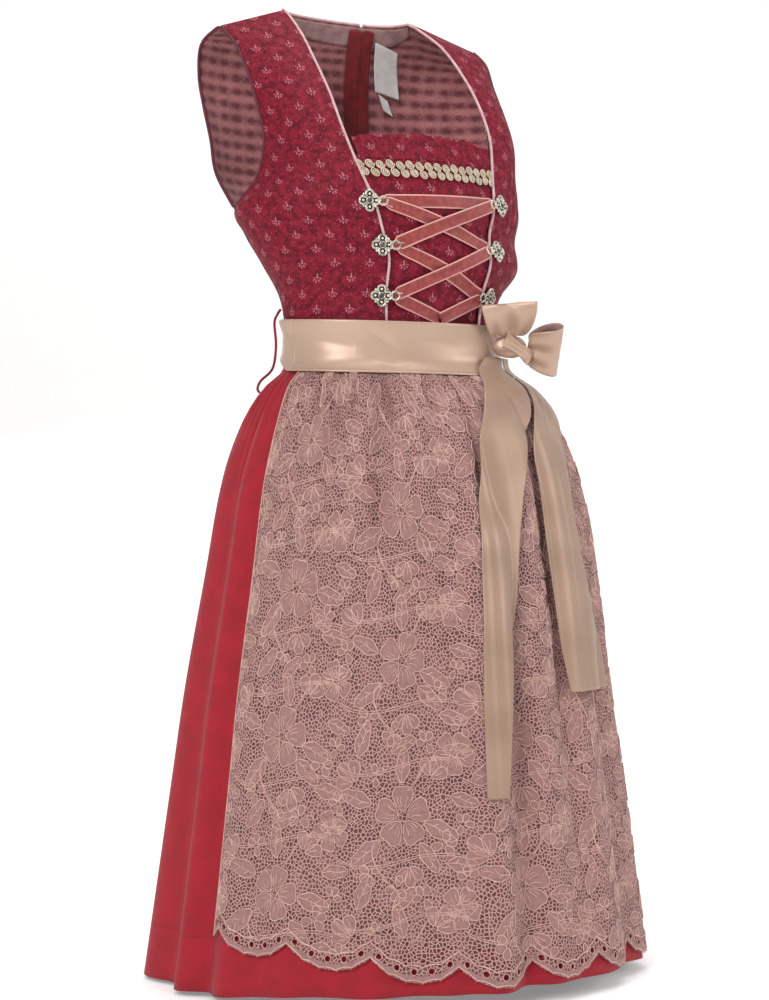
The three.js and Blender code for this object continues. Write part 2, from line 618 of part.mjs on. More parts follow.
// The lacing: each stretch runs over the insert from one ring to another, at its own level
const lacing = [
  { name: 'lacing_1', from: ['right', 0], to: ['left', 0], level: 2 },
  { name: 'lacing_2', from: ['right', 0], to: ['left', 1], level: 3.7 },
  { name: 'lacing_3', from: ['left', 0], to: ['right', 1], level: 5.4 },
  { name: 'lacing_4', from: ['right', 1], to: ['left', 2], level: 2.3 },
  { name: 'lacing_5', from: ['left', 1], to: ['right', 2], level: 5.4 },
  { name: 'lacing_6', from: ['right', 2], to: null, level: 2 },
  { name: 'lacing_7', from: ['left', 2], to: null, level: 3.8 },
];
const LACING_FOOT = { s: 0.52, z: -364 };
const LACING_SHORT = 8;
function shareOnInsert(point) {
  const right = insertPoint(0, point.z);
  const left = insertPoint(1, point.z);
  return { s: (point.x - right.x) / (left.x - right.x), z: point.z };
}
function addLacing() {
  for (const stretch of lacing) {
    const start = shareOnInsert(ringCentres[stretch.from[0]][stretch.from[1]]);
    const end = stretch.to ? shareOnInsert(ringCentres[stretch.to[0]][stretch.to[1]]) : LACING_FOOT;
    const width = insertPoint(0, start.z).distanceTo(insertPoint(1, start.z));
    const run = new THREE.Vector2((end.s - start.s) * width, end.z - start.z);
    const length = run.length();
    const crossways = new THREE.Vector2(-run.y, run.x).divideScalar(length);
    const first = LACING_SHORT / length;
    const last = stretch.to ? 1 - first : 1;
    const surface = (s, t) => {
      const along = mix(first, last, s);
      const swell = Math.sin(Math.PI * THREE.MathUtils.clamp(along, 0, 1)) ** 0.5;
      const narrow = stretch.to || s < 0.5 ? swell : 1;
      const half = (RIBBON_WIDTH / 2) * mix(0.5, 1, Math.min(1, narrow * 1.2)) * (1 - 2 * t);
      const shareX = start.s + (along * run.x + half * crossways.x) / width;
      return insertPoint(shareX, start.z + along * run.y + half * crossways.y, stretch.level);
    };
    add(stretch.name, 'ribbon', wall(surface, 10, 1, RIBBON, { flip: end.s > start.s }));
  }
}

// The skirt: front and back halves, gathered at the waist and falling in deep folds
const HALF_SEAM = 0.1;
function addSkirt() {
  for (const [name, start] of [['skirt_front', -90], ['skirt_back', 90]]) {
    const surface = (s, t) => {
      const phi = mix(start + HALF_SEAM, start + 180 - HALF_SEAM, s);
      return skirtPoint(phi, levelAt(SKIRT_LEVELS, skirtHemAt(phi), t));
    };
    add(name, 'skirt', wall(surface, COLUMNS_IN_HALF, SKIRT_LEVELS.length, SKIRT_CLOTH, { flip: true }));
  }
}

// The apron: a lining, and over it lace with a scalloped and pierced hem
function laceHemAt(phi) {
  const cusp = Math.abs(Math.cos(rad(((phi + 42) / SCALLOP_DEGREES) * 180)));
  return read(laceHem, 'hem', phi, 'phi') + SCALLOP_DEPTH * (1 - cusp ** 0.7);
}
const LINING_SHORTER = 40;
const EYELET_ABOVE_HEM = 11;
function addApron() {
  const columns = Math.round((2 * APRON_EDGE) / STEP);
  const layer = (out, hemAt, levels) => (s, t) => {
    const phi = (s - 0.5) * columns * STEP;
    return skirtPoint(phi, levelAt(levels, hemAt(phi), t), out);
  };
  const liningHem = (phi) => read(laceHem, 'hem', phi, 'phi') + LINING_SHORTER;
  const lining = layer(LINING_OUT, liningHem, APRON_LEVELS);
  add('apron_lining', 'lining', wall(lining, columns, APRON_LEVELS.length, LINING_CLOTH, { flip: true }));
  const laceLevels = [...APRON_LEVELS, FALL_FROM - 160];
  const lace = layer(LACE_OUT, laceHemAt, laceLevels);
  let body = solid(wall(lace, columns, laceLevels.length, LACE_CLOTH, { flip: true }));
  for (let k = -2; k <= 5; k += 1) {
    for (let i = 0; i < EYELETS_IN_SCALLOP; i += 1) {
      const phi = -42 + (k - 0.5 + (i + 0.5) / EYELETS_IN_SCALLOP) * SCALLOP_DEGREES;
      if (Math.abs(phi) < APRON_EDGE - 4) {
        const centre = skirtPoint(phi, laceHemAt(phi) + EYELET_ABOVE_HEM, LACE_OUT);
        const eyelet = new THREE.CylinderGeometry(EYELET_RADIUS, EYELET_RADIUS, 16, 6);
        eyelet.rotateZ(rad(phi));
        eyelet.translate(centre.x, centre.y, centre.z);
        body = body.subtract(solid(eyelet));
      }
    }
  }
  add('apron_lace', 'lace', geometryOf(body));
}

// The satin band: the full height in front, and a narrower tie round the back
const bandOut = [
  { t: 0, out: 7 },
  { t: 0.35, out: 4.6 },
  { t: 0.7, out: 5.2 },
  { t: 1, out: 8.2 },
];
function bandPoint(phi, t, height) {
  const towardsFront = 0.5 + 0.5 * Math.cos(rad(phi));
  const top = mix(-358, -369, towardsFront);
  const z = top - height * t;
  const out = read(bandOut, 'out', t, 't');
  return ringPoint(phi, z, out);
}
const BAND_END = 82;
const TIE_HEIGHT = 46;
function addBand() {
  const front = (s, t) => bandPoint(mix(-BAND_END, BAND_END, s), t, BAND_HEIGHT);
  add('apron_band', 'satin', wall(front, 24, 3, SATIN, { flip: true }));
  const back = (s, t) => {
    const phi = mix(BAND_END + 0.4, 360 - BAND_END - 0.4, s);
    const end = THREE.MathUtils.smoothstep(Math.abs(phi - 180), 70, 180 - BAND_END);
    return bandPoint(phi, t, mix(TIE_HEIGHT, BAND_HEIGHT, end));
  };
  add('apron_tie', 'satin', wall(back, 26, 3, SATIN, { flip: true }));
}

// The bow beside the front: a knot, two loops standing off the band, and two tails down the apron
const KNOT = { phi: 44, z: -392, out: 24.5, turn: -20 };
const loops = [
  {
    name: 'bow_loop_front', away: [-0.3, -0.5, 0.85], across: [0.9, -0.42, 0.12],
    length: 42, width: 64, swell: 12, root: 14.5,
  },
  {
    name: 'bow_loop_side', away: [0.89, -0.36, -0.05], across: [-0.06, -0.53, 0.85],
    length: 38, width: 62, swell: 15, root: 21.5,
  },
];
function addBow() {
  const centre = ringPoint(KNOT.phi, KNOT.z, KNOT.out);
  const knot = new THREE.SphereGeometry(1, 10, 7);
  knot.scale(20, 11, 13);
  knot.rotateZ(rad(KNOT.turn));
  knot.translate(centre.x, centre.y, centre.z);
  add('bow_knot', 'satin', knot);
  for (const loop of loops) {
    const away = new THREE.Vector3(...loop.away).normalize();
    const across = new THREE.Vector3(...loop.across).projectOnPlane(away).normalize();
    const thick = away.clone().cross(across);
    const surface = (s, t) => {
      const turn = s * Math.PI * 2;
      const along = loop.root + (loop.length * (1 - Math.cos(turn))) / 2;
      const opened = loop.swell * Math.sin(turn) * (0.35 + 0.65 * Math.sin(turn / 2) ** 2);
      const spread = mix(0.45, 1, Math.abs(Math.sin(turn / 2)) ** 0.8);
      return centre
        .clone()
        .addScaledVector(away, along)
        .addScaledVector(across, (t - 0.5) * loop.width * spread)
        .addScaledVector(thick, opened);
    };
    add(loop.name, 'satin', wall(surface, 18, 2, SATIN, { around: true }));
  }
}

const tails = {
  bow_tail_front: [
    { z: -404.4, from: 27, to: 47, out: 13.3 },
    { z: -434, from: 17, to: 42, out: 12 },
    { z: -483, from: 3.8, to: 25.3, out: TAIL_OUT },
    { z: -546, from: -1.2, to: 14.9, out: TAIL_OUT },
    { z: -614, from: -4.7, to: 9.3, out: TAIL_OUT },
    { z: -707, from: -5.5, to: 5.4, out: TAIL_OUT },
    { z: -799, from: -6.2, to: 1, out: TAIL_OUT },
    { z: -884, from: -6.7, to: -1.6, out: TAIL_OUT },
  ],
  bow_tail_side: [
    { z: -404.4, from: 48.5, to: 66, out: 13.3 },
    { z: -434, from: 45.5, to: 68, out: 12 },
    { z: -483, from: 27.6, to: 48.7, out: TAIL_OUT },
    { z: -546, from: 22.5, to: 38, out: TAIL_OUT },
    { z: -614, from: 20.5, to: 36, out: TAIL_OUT },
    { z: -686, from: 21.6, to: 39.6, out: TAIL_OUT },
    { z: -723, from: 23, to: 44, out: TAIL_OUT },
    { z: -780, from: 24.5, to: 46, out: TAIL_OUT },
  ],
};
// A tail bridges the creases under it, so it takes the highest fold within a few degrees
const BRIDGE = 3.5;
function tailPoint(phi, z, out) {
  const reach = Math.max(...[-BRIDGE, 0, BRIDGE].map((turn) => fold(phi + turn, z)));
  return ringPoint(phi, z, reach + out);
}
function addTails() {
  for (const [name, rows] of Object.entries(tails)) {
    const bottom = rows[rows.length - 1].z;
    const surface = (s, t) => {
      const z = mix(rows[0].z, bottom, t);
      const phi = mix(read(rows, 'from', z), read(rows, 'to', z), s);
      return tailPoint(phi, z, read(rows, 'out', z));
    };
    add(name, 'satin', wall(surface, 6, 12, SATIN, { flip: true }));
  }
}

// A thin cord loop at each side, over the band
const loopRun = [
  { z: -350, out: 3.2 },
  { z: -356, out: 8 },
  { z: -366, out: 12.5 },
  { z: -392, out: 13 },
  { z: -418, out: 14.5 },
  { z: -432, out: 15 },
  { z: -441, out: 11 },
  { z: -446, out: 5.2 },
];
const LOOP_RADIUS = 1.5;
function addBeltLoops() {
  for (const [side, phi] of [['right', -104], ['left', 104]]) {
    const points = loopRun.map((row) => ringPoint(phi, row.z, row.out));
    add(`belt_loop_${side}`, 'skirt', cord(points, LOOP_RADIUS, 16));
  }
}

addBodice();
addInsert();
addPiping();
addArmholeBindings();
addBackNeck();
addHooks();
addLacing();
addSkirt();
addApron();
addBand();
addBow();
addTails();
addBeltLoops();

export default dirndl;
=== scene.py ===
"""A dirndl as it is worn, with nobody in it: laced bodice, gathered skirt, lace apron and satin bow.

Tables and sizes are in millimetres, as a pattern cutter writes them, and vertices are in metres.
+Z is up, -Y is the front and +X is the wearer's left.
"""

import math
import random
from functools import lru_cache

import bmesh
import bpy
from mathutils import Matrix, Vector


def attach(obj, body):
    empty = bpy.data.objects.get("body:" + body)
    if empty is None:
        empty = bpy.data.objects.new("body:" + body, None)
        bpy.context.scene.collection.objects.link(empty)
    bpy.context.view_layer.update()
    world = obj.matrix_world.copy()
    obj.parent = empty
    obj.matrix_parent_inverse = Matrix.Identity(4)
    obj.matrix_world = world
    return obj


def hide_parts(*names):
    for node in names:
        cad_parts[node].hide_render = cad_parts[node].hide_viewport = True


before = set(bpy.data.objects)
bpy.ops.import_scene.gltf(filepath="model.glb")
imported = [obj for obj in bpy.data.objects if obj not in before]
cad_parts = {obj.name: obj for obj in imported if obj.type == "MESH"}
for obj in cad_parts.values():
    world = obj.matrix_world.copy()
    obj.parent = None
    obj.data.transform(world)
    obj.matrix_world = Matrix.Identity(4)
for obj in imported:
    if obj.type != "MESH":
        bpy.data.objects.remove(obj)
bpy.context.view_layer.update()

MM = 0.001
BODICE_CLOTH = 1.4
SKIRT_CLOTH = 1.2
LINING_CLOTH = 0.8
LACE_CLOTH = 0.7
SATIN_CLOTH = 1.0
RIBBON_CLOTH = 0.5

LINING_OUT = 2.8
LACE_OUT = 5.2
TAIL_OUT = 9.4
WAIST_SEAM = -397
SHOULDER_GAP = 3.2
PIPING_RADIUS = 1.6
BINDING_RADIUS = 1.9
RIBBON_WIDTH = 15
BAND_HEIGHT = 58
TIE_HEIGHT = 46
BAND_END = 82
FOLDS_ROUND_SKIRT = 20
SCALLOP_DEGREES = 19
SCALLOP_DEPTH = 22
SCALLOP_AT = -42
FALL_FROM = -860
APRON_EDGE = 74
APRON_MM_PER_DEGREE = 5
LOBES_IN_SCALLOP = 5
LOBE = SCALLOP_DEGREES * APRON_MM_PER_DEGREE / LOBES_IN_SCALLOP
EYELET_RADIUS = 3.1
EYELET_ABOVE_HEM = 11
NECK_SHARE = 0.55
INSERT_IN = 3.9


class Table:
    """Rows with named columns, read smoothly by the first column."""

    def __init__(self, columns, *rows):
        self.columns = columns.split()
        self.rows = rows
        self.falling = rows[-1][0] < rows[0][0]
        self.known = {}

    def at(self, column, key):
        place = (column, round(key, 3))
        if place not in self.known:
            self.known[place] = self._work_out(self.columns.index(column), key)
        return self.known[place]

    def _work_out(self, column, key):
        rows = self.rows
        sign = -1 if self.falling else 1
        last = len(rows) - 1
        if key * sign <= rows[0][0] * sign:
            return rows[0][column]
        if key * sign >= rows[last][0] * sign:
            return rows[last][column]
        k = 0
        while key * sign > rows[k + 1][0] * sign:
            k += 1

        def slope(i):
            before, after = rows[max(i - 1, 0)], rows[min(i + 1, last)]
            return (after[column] - before[column]) / (after[0] - before[0])

        span = rows[k + 1][0] - rows[k][0]
        share = (key - rows[k][0]) / span
        return hermite(rows[k][column], rows[k + 1][column], slope(k) * span, slope(k + 1) * span, share)


def hermite(a, b, slope_a, slope_b, t):
    t2, t3 = t * t, t * t * t
    start = a * (2 * t3 - 3 * t2 + 1) + slope_a * (t3 - 2 * t2 + t)
    return start + b * (3 * t2 - 2 * t3) + slope_b * (t3 - t2)


def mix(a, b, t):
    return a + (b - a) * t


def clamp(x, low=0.0, high=1.0):
    return min(max(x, low), high)


def smoothstep(x, low, high):
    t = clamp((x - low) / (high - low))
    return t * t * (3 - 2 * t)


def wave(degrees):
    return math.cos(math.radians(degrees))


def sine(degrees):
    return math.sin(math.radians(degrees))


# The garment's level rings: centre, half width, front and back depth
RINGS = Table(
    "z mid_x mid_y wide front back",
    (-236, 22.5, -36, 176, 127, 112),
    (-266, 25.5, -40, 167, 117, 110),
    (-300, 34, -48, 157, 112, 108),
    (-340, 29.5, -53, 132.5, 98, 100),
    (-370, 31, -56, 130, 94, 97),
    (-400, 31, -58, 129, 92, 95),
    (-418, 31.5, -59, 132.5, 95, 98),
    (-440, 38, -59, 159, 118, 122),
    (-480, 42, -60, 185, 150, 152),
    (-545, 44, -61, 209, 172, 174),
    (-650, 44.5, -62, 228, 191, 192),
    (-780, 39.5, -62, 245, 214, 214),
    (-900, 39.5, -62, 261, 231, 230),
    (-1010, 39.5, -61, 276, 247, 246),
    (-1105, 38, -61, 286, 260, 258),
)

# Where the bodice seams stand on those rings, in degrees from the front towards the wearer's left
SEAMS = Table(
    "z right left side centre_back gap",
    (-236, -22.9, 32.8, 108, 172.3, 0.8),
    (-266, -20.8, 32, 105, 174, 0.5),
    (-300, -22.5, 29.8, 102, 178.6, 0),
    (-340, -24.3, 35.8, 99, 177.6, 0),
    (-397, -24.7, 33, 97, 179.1, 0),
)

# Panel rows above the armpit: inner point, outer point, and the plan headings between them
PANEL_ROWS = {
    "front_right": (
        (-82, -1, 0, -158, 6, -24, 0, 0),
        (-75, -28, -30, -147, -12, -46, 0, 30),
        (-73, -60, -67, -139, -24, -75, 2, 50),
        (-71, -93, -108, -133, -36, -112, 5, 66),
        (-68, -118, -150, -125, -40, -155, 10, 80),
        (-60, -136, -190, -127, -27, -198, 14, 90),
    ),
    "front_left": (
        (86, -1, 0, 173, 4, -24, 0, 0),
        (113, -26, -28, 182, -12, -42, 0, 30),
        (123, -58, -64, 182, -30, -72, 2, 50),
        (127, -91, -105, 186, -46, -108, 4, 70),
        (128, -117, -150, 187, -50, -152, 6, 92),
        (125, -128, -192, 188, -31, -198, 8, 98),
    ),
    "back_right": (
        (42, 57, -38, -170, 34, -42, 0, 26),
        (46, 69, -76, -165, 53, -76, 0, 30),
        (50, 75, -112, -157, 58, -110, 0, 36),
        (52, 78, -150, -149, 57, -148, 0, 44),
        (51, 77, -193, -151, 38, -190, 4, 62),
    ),
    "back_left": (
        (42, 57, -38, 191, 30, -42, 0, 32),
        (46, 69, -76, 203, 38, -76, 0, 38),
        (50, 75, -112, 209, 33, -110, 0, 46),
        (52, 78, -150, 209, 23, -148, 0, 54),
        (51, 77, -193, 201, 11, -190, 4, 68),
    ),
}
NECK_BACK = Vector((39, 38, 0))
OUTWARD = {"front_right": 1, "front_left": -1, "back_right": -1, "back_left": 1}

INSERT_SWELL = Table(
    "z right left", (-150, 18, 20), (-192, 22, 26), (-236, 19, 29), (-300, 15, 24), (-397, 19, 24)
)

FOLD_DEPTH = Table(
    "z deep", (-400, 0), (-420, 0.8), (-440, 3), (-480, 6), (-545, 9), (-780, 12), (-1105, 16)
)
# Creases and ridges under the apron: place, spread, depth (a ridge is negative), top and bottom
CREASES = (
    (-70, 4, 7, -420, -1100),
    (-58, 3.4, 6, -400, -520),
    (-48, 3.4, 6, -400, -540),
    (-31, 4, 12, -410, -640),
    (-20, 5, 5, -600, -1100),
    (-5, 6, -15, -560, -1105),
    (1, 3.4, 10, -415, -580),
    (5, 4, 11, -640, -1105),
    (24, 4.2, 13, -420, -1050),
    (42, 4, 6, -700, -1105),
    (64, 4, 9, -430, -1105),
)
SKIRT_HEM = Table(
    "phi hem", (-180, -1103), (-78, -1101), (-45, -1089), (35, -1088), (78, -1102), (180, -1103)
)
LACE_HEM = Table("phi hem", (-76, -1044), (-40, -1060), (-15, -1077), (15, -1081), (76, -1088))


def ring_point(phi, z, out=0.0):
    aside, ahead = sine(phi), wave(phi)
    depth = RINGS.at("front" if ahead > 0 else "back", z)
    x = RINGS.at("mid_x", z) + (RINGS.at("wide", z) + out) * aside
    y = RINGS.at("mid_y", z) - (depth + out) * ahead
    return Vector((x, y, z))


def fold(phi, z):
    """Height of the skirt's folds over its ring."""
    wander = phi + 5 * sine(2 * phi + 40) + 3 * sine(5 * phi + 10)
    swing = 0.7 * wave(FOLDS_ROUND_SKIRT * wander) + 0.3 * wave(11 * wander + 50)
    beside_apron = smoothstep(abs(phi), 62, 84)
    height = swing * FOLD_DEPTH.at("deep", z) * mix(0.3, 1, beside_apron)
    for centre, spread, deep, top, bottom in CREASES:
        if abs(phi - centre) < 3 * spread:
            near = math.exp(-(((phi - centre) / spread) ** 2))
            height -= deep * near * smoothstep(top - z, 0, 60) * smoothstep(z - bottom, -40, 60)
    return height


def turned(phi):
    return phi - 360 if phi > 180 else phi


def skirt_point(phi, z, out=0.0):
    """A point of the skirt, or of a layer standing off it; the folds fall straight lower down."""
    place = turned(phi)
    if z >= FALL_FROM:
        return ring_point(place, z, fold(place, z) + out)
    hem = SKIRT_HEM.at("hem", place)
    top = ring_point(place, FALL_FROM, fold(place, FALL_FROM) + out)
    foot = ring_point(place, hem, fold(place, hem) + out)
    return top.lerp(foot, (z - FALL_FROM) / (hem - FALL_FROM))


# Narrow troughs drawn in under the band: place, spread, depth and bottom
TROUGHS = (
    (-66, 1.7, 5, -520), (-56.6, 2.0, 7, -500), (-40.8, 1.8, 8, -505), (-28.4, 2.4, 11, -560),
    (-19, 1.6, 5, -500), (-11.1, 1.8, 7, -515), (12, 1.8, 6, -500), (33, 1.8, 6, -520),
    (52, 2.0, 7, -540), (68, 1.8, 6, -520), (-33, 3.0, 9, -1010), (-13.5, 2.6, 7, -980),
    (10, 3.0, 8, -1060), (33, 3.0, 9, -1040), (57, 2.8, 8, -1020), (-51, 3.0, 8, -990),
    (95, 1.8, 6, -560), (118, 2.2, 7, -600), (150, 1.8, 6, -560), (173, 2.0, 7, -580),
    (-92, 2.0, 7, -570), (-117, 1.8, 6, -560), (-141, 2.2, 7, -590), (-164, 1.8, 6, -560),
)


# The gathers start under the band and are full at its lower edge
DRAWN_IN = (424, 446)
GATHER_DEEP = 1.5


def gather(phi, z):
    """Uneven gathers and troughs where the cloth is drawn in under the band."""
    phi = turned(phi)
    wander = phi + 1.3 * sine(7 * phi) + 0.8 * sine(17 * phi + 60)
    swing = wave(96 * wander) + 0.5 * wave(57 * wander + 30)
    long = mix(-490, -600, 0.5 + 0.5 * wave(23 * phi))
    drawn_in = smoothstep(-z, *DRAWN_IN)
    height = GATHER_DEEP * swing * drawn_in * (1 - smoothstep(-z, 450, -long))
    for centre, spread, deep, bottom in TROUGHS:
        if abs(phi - centre) < 3 * spread:
            near = math.exp(-(((phi - centre) / spread) ** 2))
            height -= deep * near * drawn_in * (1 - smoothstep(-z, 452, -bottom))
    return height


def cloth_point(phi, z, out=0.0):
    return skirt_point(phi, z, out + gather(phi, z))


def across_row(row, side, turn, s):
    in_x, in_y, in_z, out_x, out_y, out_z, leave, arrive = row
    chord = math.hypot(out_x - in_x, out_y - in_y)
    pull = chord * (1 + 0.17 * ((arrive - leave) / 90) ** 2)
    leave, arrive = math.radians(leave), math.radians(arrive)
    x = hermite(in_x, out_x, side * pull * math.cos(leave), side * pull * math.cos(arrive), s)
    y = hermite(in_y, out_y, turn * pull * math.sin(leave), turn * pull * math.sin(arrive), s)
    return Vector((x, y, mix(in_z, out_z, s)))


def neck_and_shoulder(tip, s):
    neck_x, tip_y = tip[:2]
    out_x, out_y, out_z = tip[3:6]
    seam_y = tip_y + SHOULDER_GAP
    if s < NECK_SHARE:
        turn = math.pi / 2 * s / NECK_SHARE
        x, y = mix(NECK_BACK.x, neck_x, math.sin(turn)), mix(seam_y, NECK_BACK.y, math.cos(turn))
        return Vector((x, y, NECK_BACK.z))
    along = (s - NECK_SHARE) / (1 - NECK_SHARE)
    return Vector((mix(neck_x, out_x, along), mix(seam_y, out_y + SHOULDER_GAP, along), out_z * along))


@lru_cache(maxsize=None)
def stations(panel, s):
    """The panel's points at s on each of its stations, from the shoulder down to the waist."""
    side = -1 if panel.endswith("right") else 1
    is_front = panel.startswith("front")
    points = [across_row(row, side, 1 if is_front else -1, s) for row in PANEL_ROWS[panel]]
    if not is_front:
        points.insert(0, neck_and_shoulder(PANEL_ROWS[panel.replace("back", "front")][0], s))
    for z, right, left, side_seam, centre_back, gap in SEAMS.rows:
        start = right if side < 0 else left
        if not is_front:
            start = centre_back - 360 if side < 0 else centre_back
        stop = side * (side_seam + (-gap if is_front else gap))
        points.append(ring_point(mix(start, stop, s), z))
    return points


def through(points, place):
    """A point of the smooth curve through the points, at a place counted in points."""
    last = len(points) - 1
    k = min(int(place), last - 1)
    a, b, c, d = (points[min(max(i, 0), last)] for i in (k - 1, k, k + 1, k + 2))
    return Vector(hermite(b[i], c[i], (c[i] - a[i]) / 2, (d[i] - b[i]) / 2, place - k) for i in range(3))


def panel_point(panel, s, t):
    """A point of a bodice panel: s across from the inner edge, t down from the shoulder to the waist."""
    points = stations(panel, round(s, 5))
    return through(points, clamp(t) * (len(points) - 1))


def panel_normal(panel, s, t):
    e = 0.003
    t = clamp(t, 0.005, 0.995)
    across = panel_point(panel, s + e, t) - panel_point(panel, s - e, t)
    down = panel_point(panel, s, t + e) - panel_point(panel, s, t - e)
    return across.cross(down).normalized() * OUTWARD[panel]


def panel_off(panel, s, t, out):
    return panel_point(panel, s, t) + panel_normal(panel, s, t) * out


@lru_cache(maxsize=None)
def edge_at(panel, z):
    """How far down a panel's inner edge a height is."""
    low, high = 0.0, 1.0
    for _ in range(22):
        mid = (low + high) / 2
        if panel_point(panel, 0, mid).z > z:
            low = mid
        else:
            high = mid
    return high


INSERT_STEP = 3


@lru_cache(maxsize=None)
def insert_edges(step):
    z = step * INSERT_STEP
    return [panel_off(p, 0, edge_at(p, z), -INSERT_IN) for p in ("front_right", "front_left")]


def insert_point(s, z, out=0.0):
    """A point of the insert: s from the wearer's right front edge to the left one."""
    step = math.floor(z / INSERT_STEP)
    share = z / INSERT_STEP - step
    right, left = (a.lerp(b, share) for a, b in zip(insert_edges(step), insert_edges(step + 1)))
    leave = math.radians(INSERT_SWELL.at("right", z))
    arrive = math.radians(INSERT_SWELL.at("left", z))
    pull = (left - right).length * 1.04
    x = hermite(right.x, left.x, pull * math.cos(leave), pull * math.cos(arrive), s)
    y = hermite(right.y, left.y, -pull * math.sin(leave), pull * math.sin(arrive), s)
    slope = mix(-leave, arrive, s)
    return Vector((x + out * math.sin(slope), y - out * math.cos(slope), z))


def srgb(red, green, blue):
    """A colour as seen on a screen, 0 to 255, for a shader."""

    def channel(value):
        value /= 255
        return value / 12.92 if value <= 0.04045 else ((value + 0.055) / 1.055) ** 2.4

    return (channel(red), channel(green), channel(blue), 1.0)


class Number:
    """A number that varies over a surface, so that shader maths reads as maths."""

    def __init__(self, finish, socket):
        self.finish = finish
        self.socket = socket

    def maths(self, operation, *values):
        node = self.finish.node("Math", {"operation": operation}, dict(enumerate(values)))
        return Number(self.finish, node.outputs[0])

    def __add__(self, other):
        return self.maths("ADD", self, other)

    __radd__ = __add__

    def __sub__(self, other):
        return self.maths("SUBTRACT", self, other)

    def __rsub__(self, other):
        return self.maths("SUBTRACT", other, self)

    def __mul__(self, other):
        return self.maths("MULTIPLY", self, other)

    __rmul__ = __mul__

    def __truediv__(self, other):
        return self.maths("DIVIDE", self, other)

    def __mod__(self, other):
        return self.maths("FLOORED_MODULO", self, other)

    def sine(self):
        return self.maths("SINE", self)

    def size(self):
        return self.maths("ABSOLUTE", self)

    def power(self, other):
        return self.maths("POWER", self, other)

    def most(self, other):
        return self.maths("MAXIMUM", self, other)

    def least(self, other):
        return self.maths("MINIMUM", self, other)

    def rising(self, low, high):
        """0 below low, 1 above high, and a soft step between."""
        settings = {"interpolation_type": "SMOOTHSTEP"}
        inputs = {"Value": self, "From Min": low, "From Max": high}
        return Number(self.finish, self.finish.node("MapRange", settings, inputs).outputs[0])

    def falling(self, low, high):
        return 1 - self.rising(low, high)


class Finish:
    """A material being made: its nodes, and the shader that they feed."""

    def __init__(self, name, **constants):
        self.material = bpy.data.materials.new(name)
        self.material.use_nodes = True
        self.nodes = self.material.node_tree.nodes
        self.links = self.material.node_tree.links
        self.shader = self.nodes["Principled BSDF"]
        for socket, value in constants.items():
            self.shader.inputs[socket.replace("_", " ")].default_value = value

    def node(self, kind, settings=None, inputs=None):
        node = self.nodes.new(f"ShaderNode{kind}")
        for key, value in (settings or {}).items():
            setattr(node, key, value)
        for key, value in (inputs or {}).items():
            self.feed(node.inputs[key], value)
        return node

    def feed(self, socket, value):
        value = value.socket if isinstance(value, Number) else value
        if isinstance(value, bpy.types.NodeSocket):
            self.links.new(value, socket)
        else:
            socket.default_value = value

    def flat(self, name="cloth"):
        """The place on the cloth, in millimetres across and down."""
        uv = self.node("UVMap", {"uv_map": name}).outputs[0]
        parts = self.node("SeparateXYZ", inputs={0: uv}).outputs
        return Number(self, parts[0]), Number(self, parts[1])

    def place(self):
        return self.node("TexCoord").outputs["Object"]

    def point(self, x, y, z=0.0):
        return self.node("CombineXYZ", inputs={0: x, 1: y, 2: z}).outputs[0]

    def noise(self, where, scale, detail=2.0, roughness=0.5):
        inputs = {"Vector": where, "Scale": scale, "Detail": detail, "Roughness": roughness}
        return Number(self, self.node("TexNoise", {}, inputs).outputs[0])

    def cells(self, where, scale, feature="DISTANCE_TO_EDGE", randomness=1.0):
        inputs = {"Vector": where, "Scale": scale, "Randomness": randomness}
        return self.node("TexVoronoi", {"feature": feature, "voronoi_dimensions": "2D"}, inputs)

    def blend(self, share, first, second):
        node = self.node("Mix", {"data_type": "RGBA"}, {0: share, 6: first, 7: second})
        return node.outputs[2]

    def bump(self, height, distance, strength=1.0):
        """Height in shares of distance, in millimetres."""
        inputs = {"Height": height, "Distance": distance * MM, "Strength": strength}
        self.shade(Normal=self.node("Bump", {}, inputs).outputs[0])

    def shade(self, **values):
        for socket, value in values.items():
            self.feed(self.shader.inputs[socket.replace("_", " ")], value)


def weave(u, v, pitch):
    """Plain weave: threads across and down, as a height from 0 to 1."""
    turn = 2 * math.pi / pitch
    return 0.5 + 0.25 * ((u * turn).sine() + (v * turn).sine())


PRINT_ACROSS, PRINT_DOWN = 39, 36


